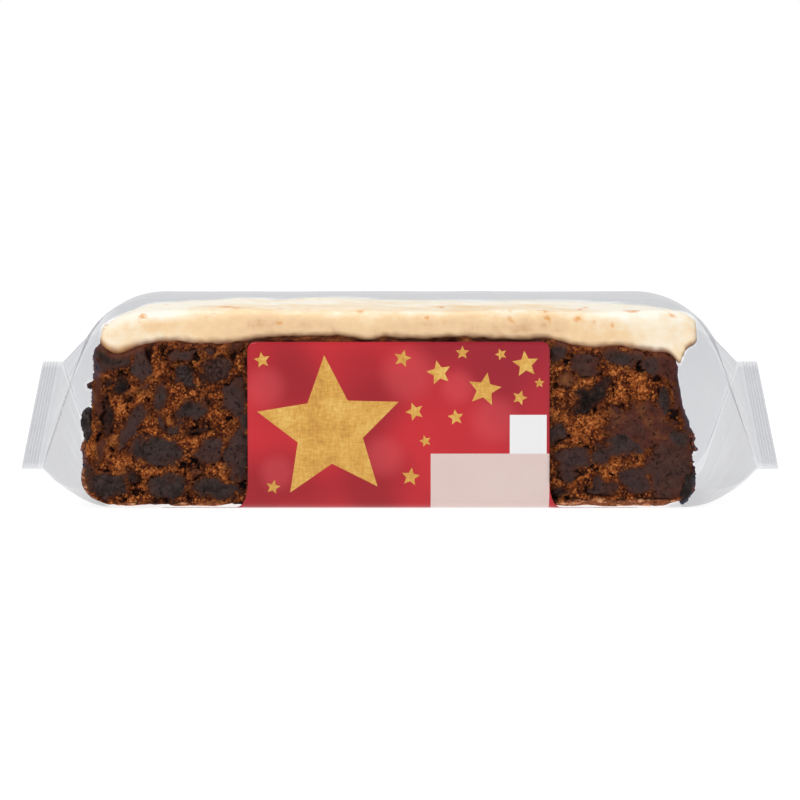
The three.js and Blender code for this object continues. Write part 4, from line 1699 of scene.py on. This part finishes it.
def red_ink():
    """Red that turns to crimson towards the upper right, with soft spots of light."""
    look = Finish("print_red")
    colour = look.mix(look.noise(24.0, detail=1.0).step(0.35, 0.7), DEEP_RED, BRIGHT_RED)
    towards_corner = look.along("X") * 20.0 + look.along("Z") * 18.0 - 0.45
    colour = look.mix(towards_corner.step(0.0, 1.0) * 0.6, colour, CRIMSON)
    for x, z, radius in RED_GLOWS:
        ends = {0: look.place, 1: (x * MM, FRONT_Y * MM, z * MM)}
        offset = look.add("ShaderNodeVectorMath", {"operation": "DISTANCE"}, ends, output="Value")
        glow = 1.0 - offset.step(0.35 * radius * MM, radius * MM)
        colour = look.mix(glow * 0.32, colour, GLOW)
    shader = look.gloss(
        Base_Color=colour, Roughness=0.32, Specular_IOR_Level=0.35, Normal=look.bump(look.noise(3.0), 0.02)
    )
    return look.finish_with(shader)


def gold_ink():
    """Gold with the look of a weave."""
    look = Finish("print_gold")
    across = look.noise(WEAVE_SIZE, detail=2.0, stretch=(0.25, 1.0, 1.0))
    upright = look.noise(WEAVE_SIZE, detail=2.0, stretch=(1.0, 1.0, 0.25))
    cloud = look.noise(6.0, detail=3.0)
    value = across * 0.4 + upright * 0.4 + cloud * 0.5 - 0.15
    colour = look.ramp(value, [
        (0.25, ink(182, 122, 48)), (0.5, ink(214, 160, 68)), (0.8, ink(236, 200, 112)),
    ])
    shader = look.gloss(Base_Color=colour, Roughness=0.36, Specular_IOR_Level=0.4)
    return look.finish_with(shader)


def plain_ink(name, shade, light_shade):
    """One pale ink, slightly cloudy between two shades."""
    look = Finish(name)
    colour = look.mix(look.noise(8.0, detail=2.0), shade, light_shade)
    shader = look.gloss(Base_Color=colour, Roughness=0.34, Specular_IOR_Level=0.35)
    return look.finish_with(shader)


inks = [
    red_ink(), gold_ink(), plain_ink("print_white", ink(232, 232, 233), ink(237, 237, 237)),
    plain_ink("print_pink", ink(217, 193, 187), ink(224, 202, 196)),
    plain_ink("print_cream", ink(232, 222, 205), ink(240, 232, 218)),
]
make_piece(
    "print_wrap", print_shell, shell_faces, inks, finish_of_face=shell_kinds
)

# %% [markdown]
# ## Floor and light
# The pack was photographed in a white light tent, so its surroundings are white all round and its
# shadows are faint. White surroundings light the scene evenly here too. One large soft lamp from
# above on the left gives the grains their small shadows, and a weaker one from the right keeps the
# shaded sides readable. The floor is pale and glows a little, so that it meets the white behind it
# without a line and only darkens where the pack stands.

# %% Set up the stage
FLOOR_SIZE = 6.0
WORLD_SEEN = 1.0
WORLD_LIGHT = 0.53
FLOOR_GLOW = 0.86


def floor_finish():
    """Pale, matt and glowing a little."""
    look = Finish("pale_floor")
    shader = look.gloss(
        Base_Color=(0.25, 0.25, 0.25, 1.0), Roughness=0.9, Specular_IOR_Level=0.1,
        Emission_Color=(1.0, 1.0, 1.0, 1.0), Emission_Strength=FLOOR_GLOW,
    )
    return look.finish_with(shader)


def add_floor():
    """A square floor that belongs to the stage and not to the pack."""
    half = FLOOR_SIZE / 2
    corners = [(-half, -half, 0.0), (half, -half, 0.0), (half, half, 0.0), (-half, half, 0.0)]
    mesh = bpy.data.meshes.new("floor")
    mesh.from_pydata(corners, [], [(0, 1, 2, 3)])
    mesh.materials.append(floor_finish())
    floor = bpy.data.objects.new("floor", mesh)
    bpy.context.scene.collection.objects.link(floor)


def add_lamp(name, place, size, power):
    """A square soft lamp, in metres and watts, that looks at the middle of the pack."""
    data = bpy.data.lights.new(name, "AREA")
    data.size = size
    data.energy = power
    lamp = bpy.data.objects.new(name, data)
    lamp.location = place
    aim = Vector((0.0, 0.0, CAMERA_TARGET_Z * MM)) - Vector(place)
    lamp.rotation_euler = aim.to_track_quat("-Z", "Y").to_euler()
    bpy.context.scene.collection.objects.link(lamp)


def light_surroundings():
    """A white world: full white to the camera, and a weaker white as light."""
    world = bpy.data.worlds.new("white_tent")
    bpy.context.scene.world = world
    world.use_nodes = True
    nodes, links = world.node_tree.nodes, world.node_tree.links
    rays = nodes.new("ShaderNodeLightPath")
    strength = nodes.new("ShaderNodeMath")
    strength.operation = "MULTIPLY_ADD"
    strength.inputs[1].default_value = WORLD_SEEN - WORLD_LIGHT
    strength.inputs[2].default_value = WORLD_LIGHT
    links.new(rays.outputs["Is Camera Ray"], strength.inputs[0])
    nodes["Background"].inputs["Color"].default_value = (1.0, 1.0, 1.0, 1.0)
    links.new(strength.outputs["Value"], nodes["Background"].inputs["Strength"])


add_floor()
light_surroundings()
add_lamp("key", (-0.45, -0.55, 0.75), 0.3, 3.0)
add_lamp("fill", (0.65, -0.6, 0.35), 0.5, 0.7)
add_lamp("overhead", (0.0, 0.25, 0.85), 0.6, 3.7)
bpy.context.scene.view_settings.view_transform = "Standard"
print("lamps:", ", ".join(lamp.name for lamp in bpy.data.lights))
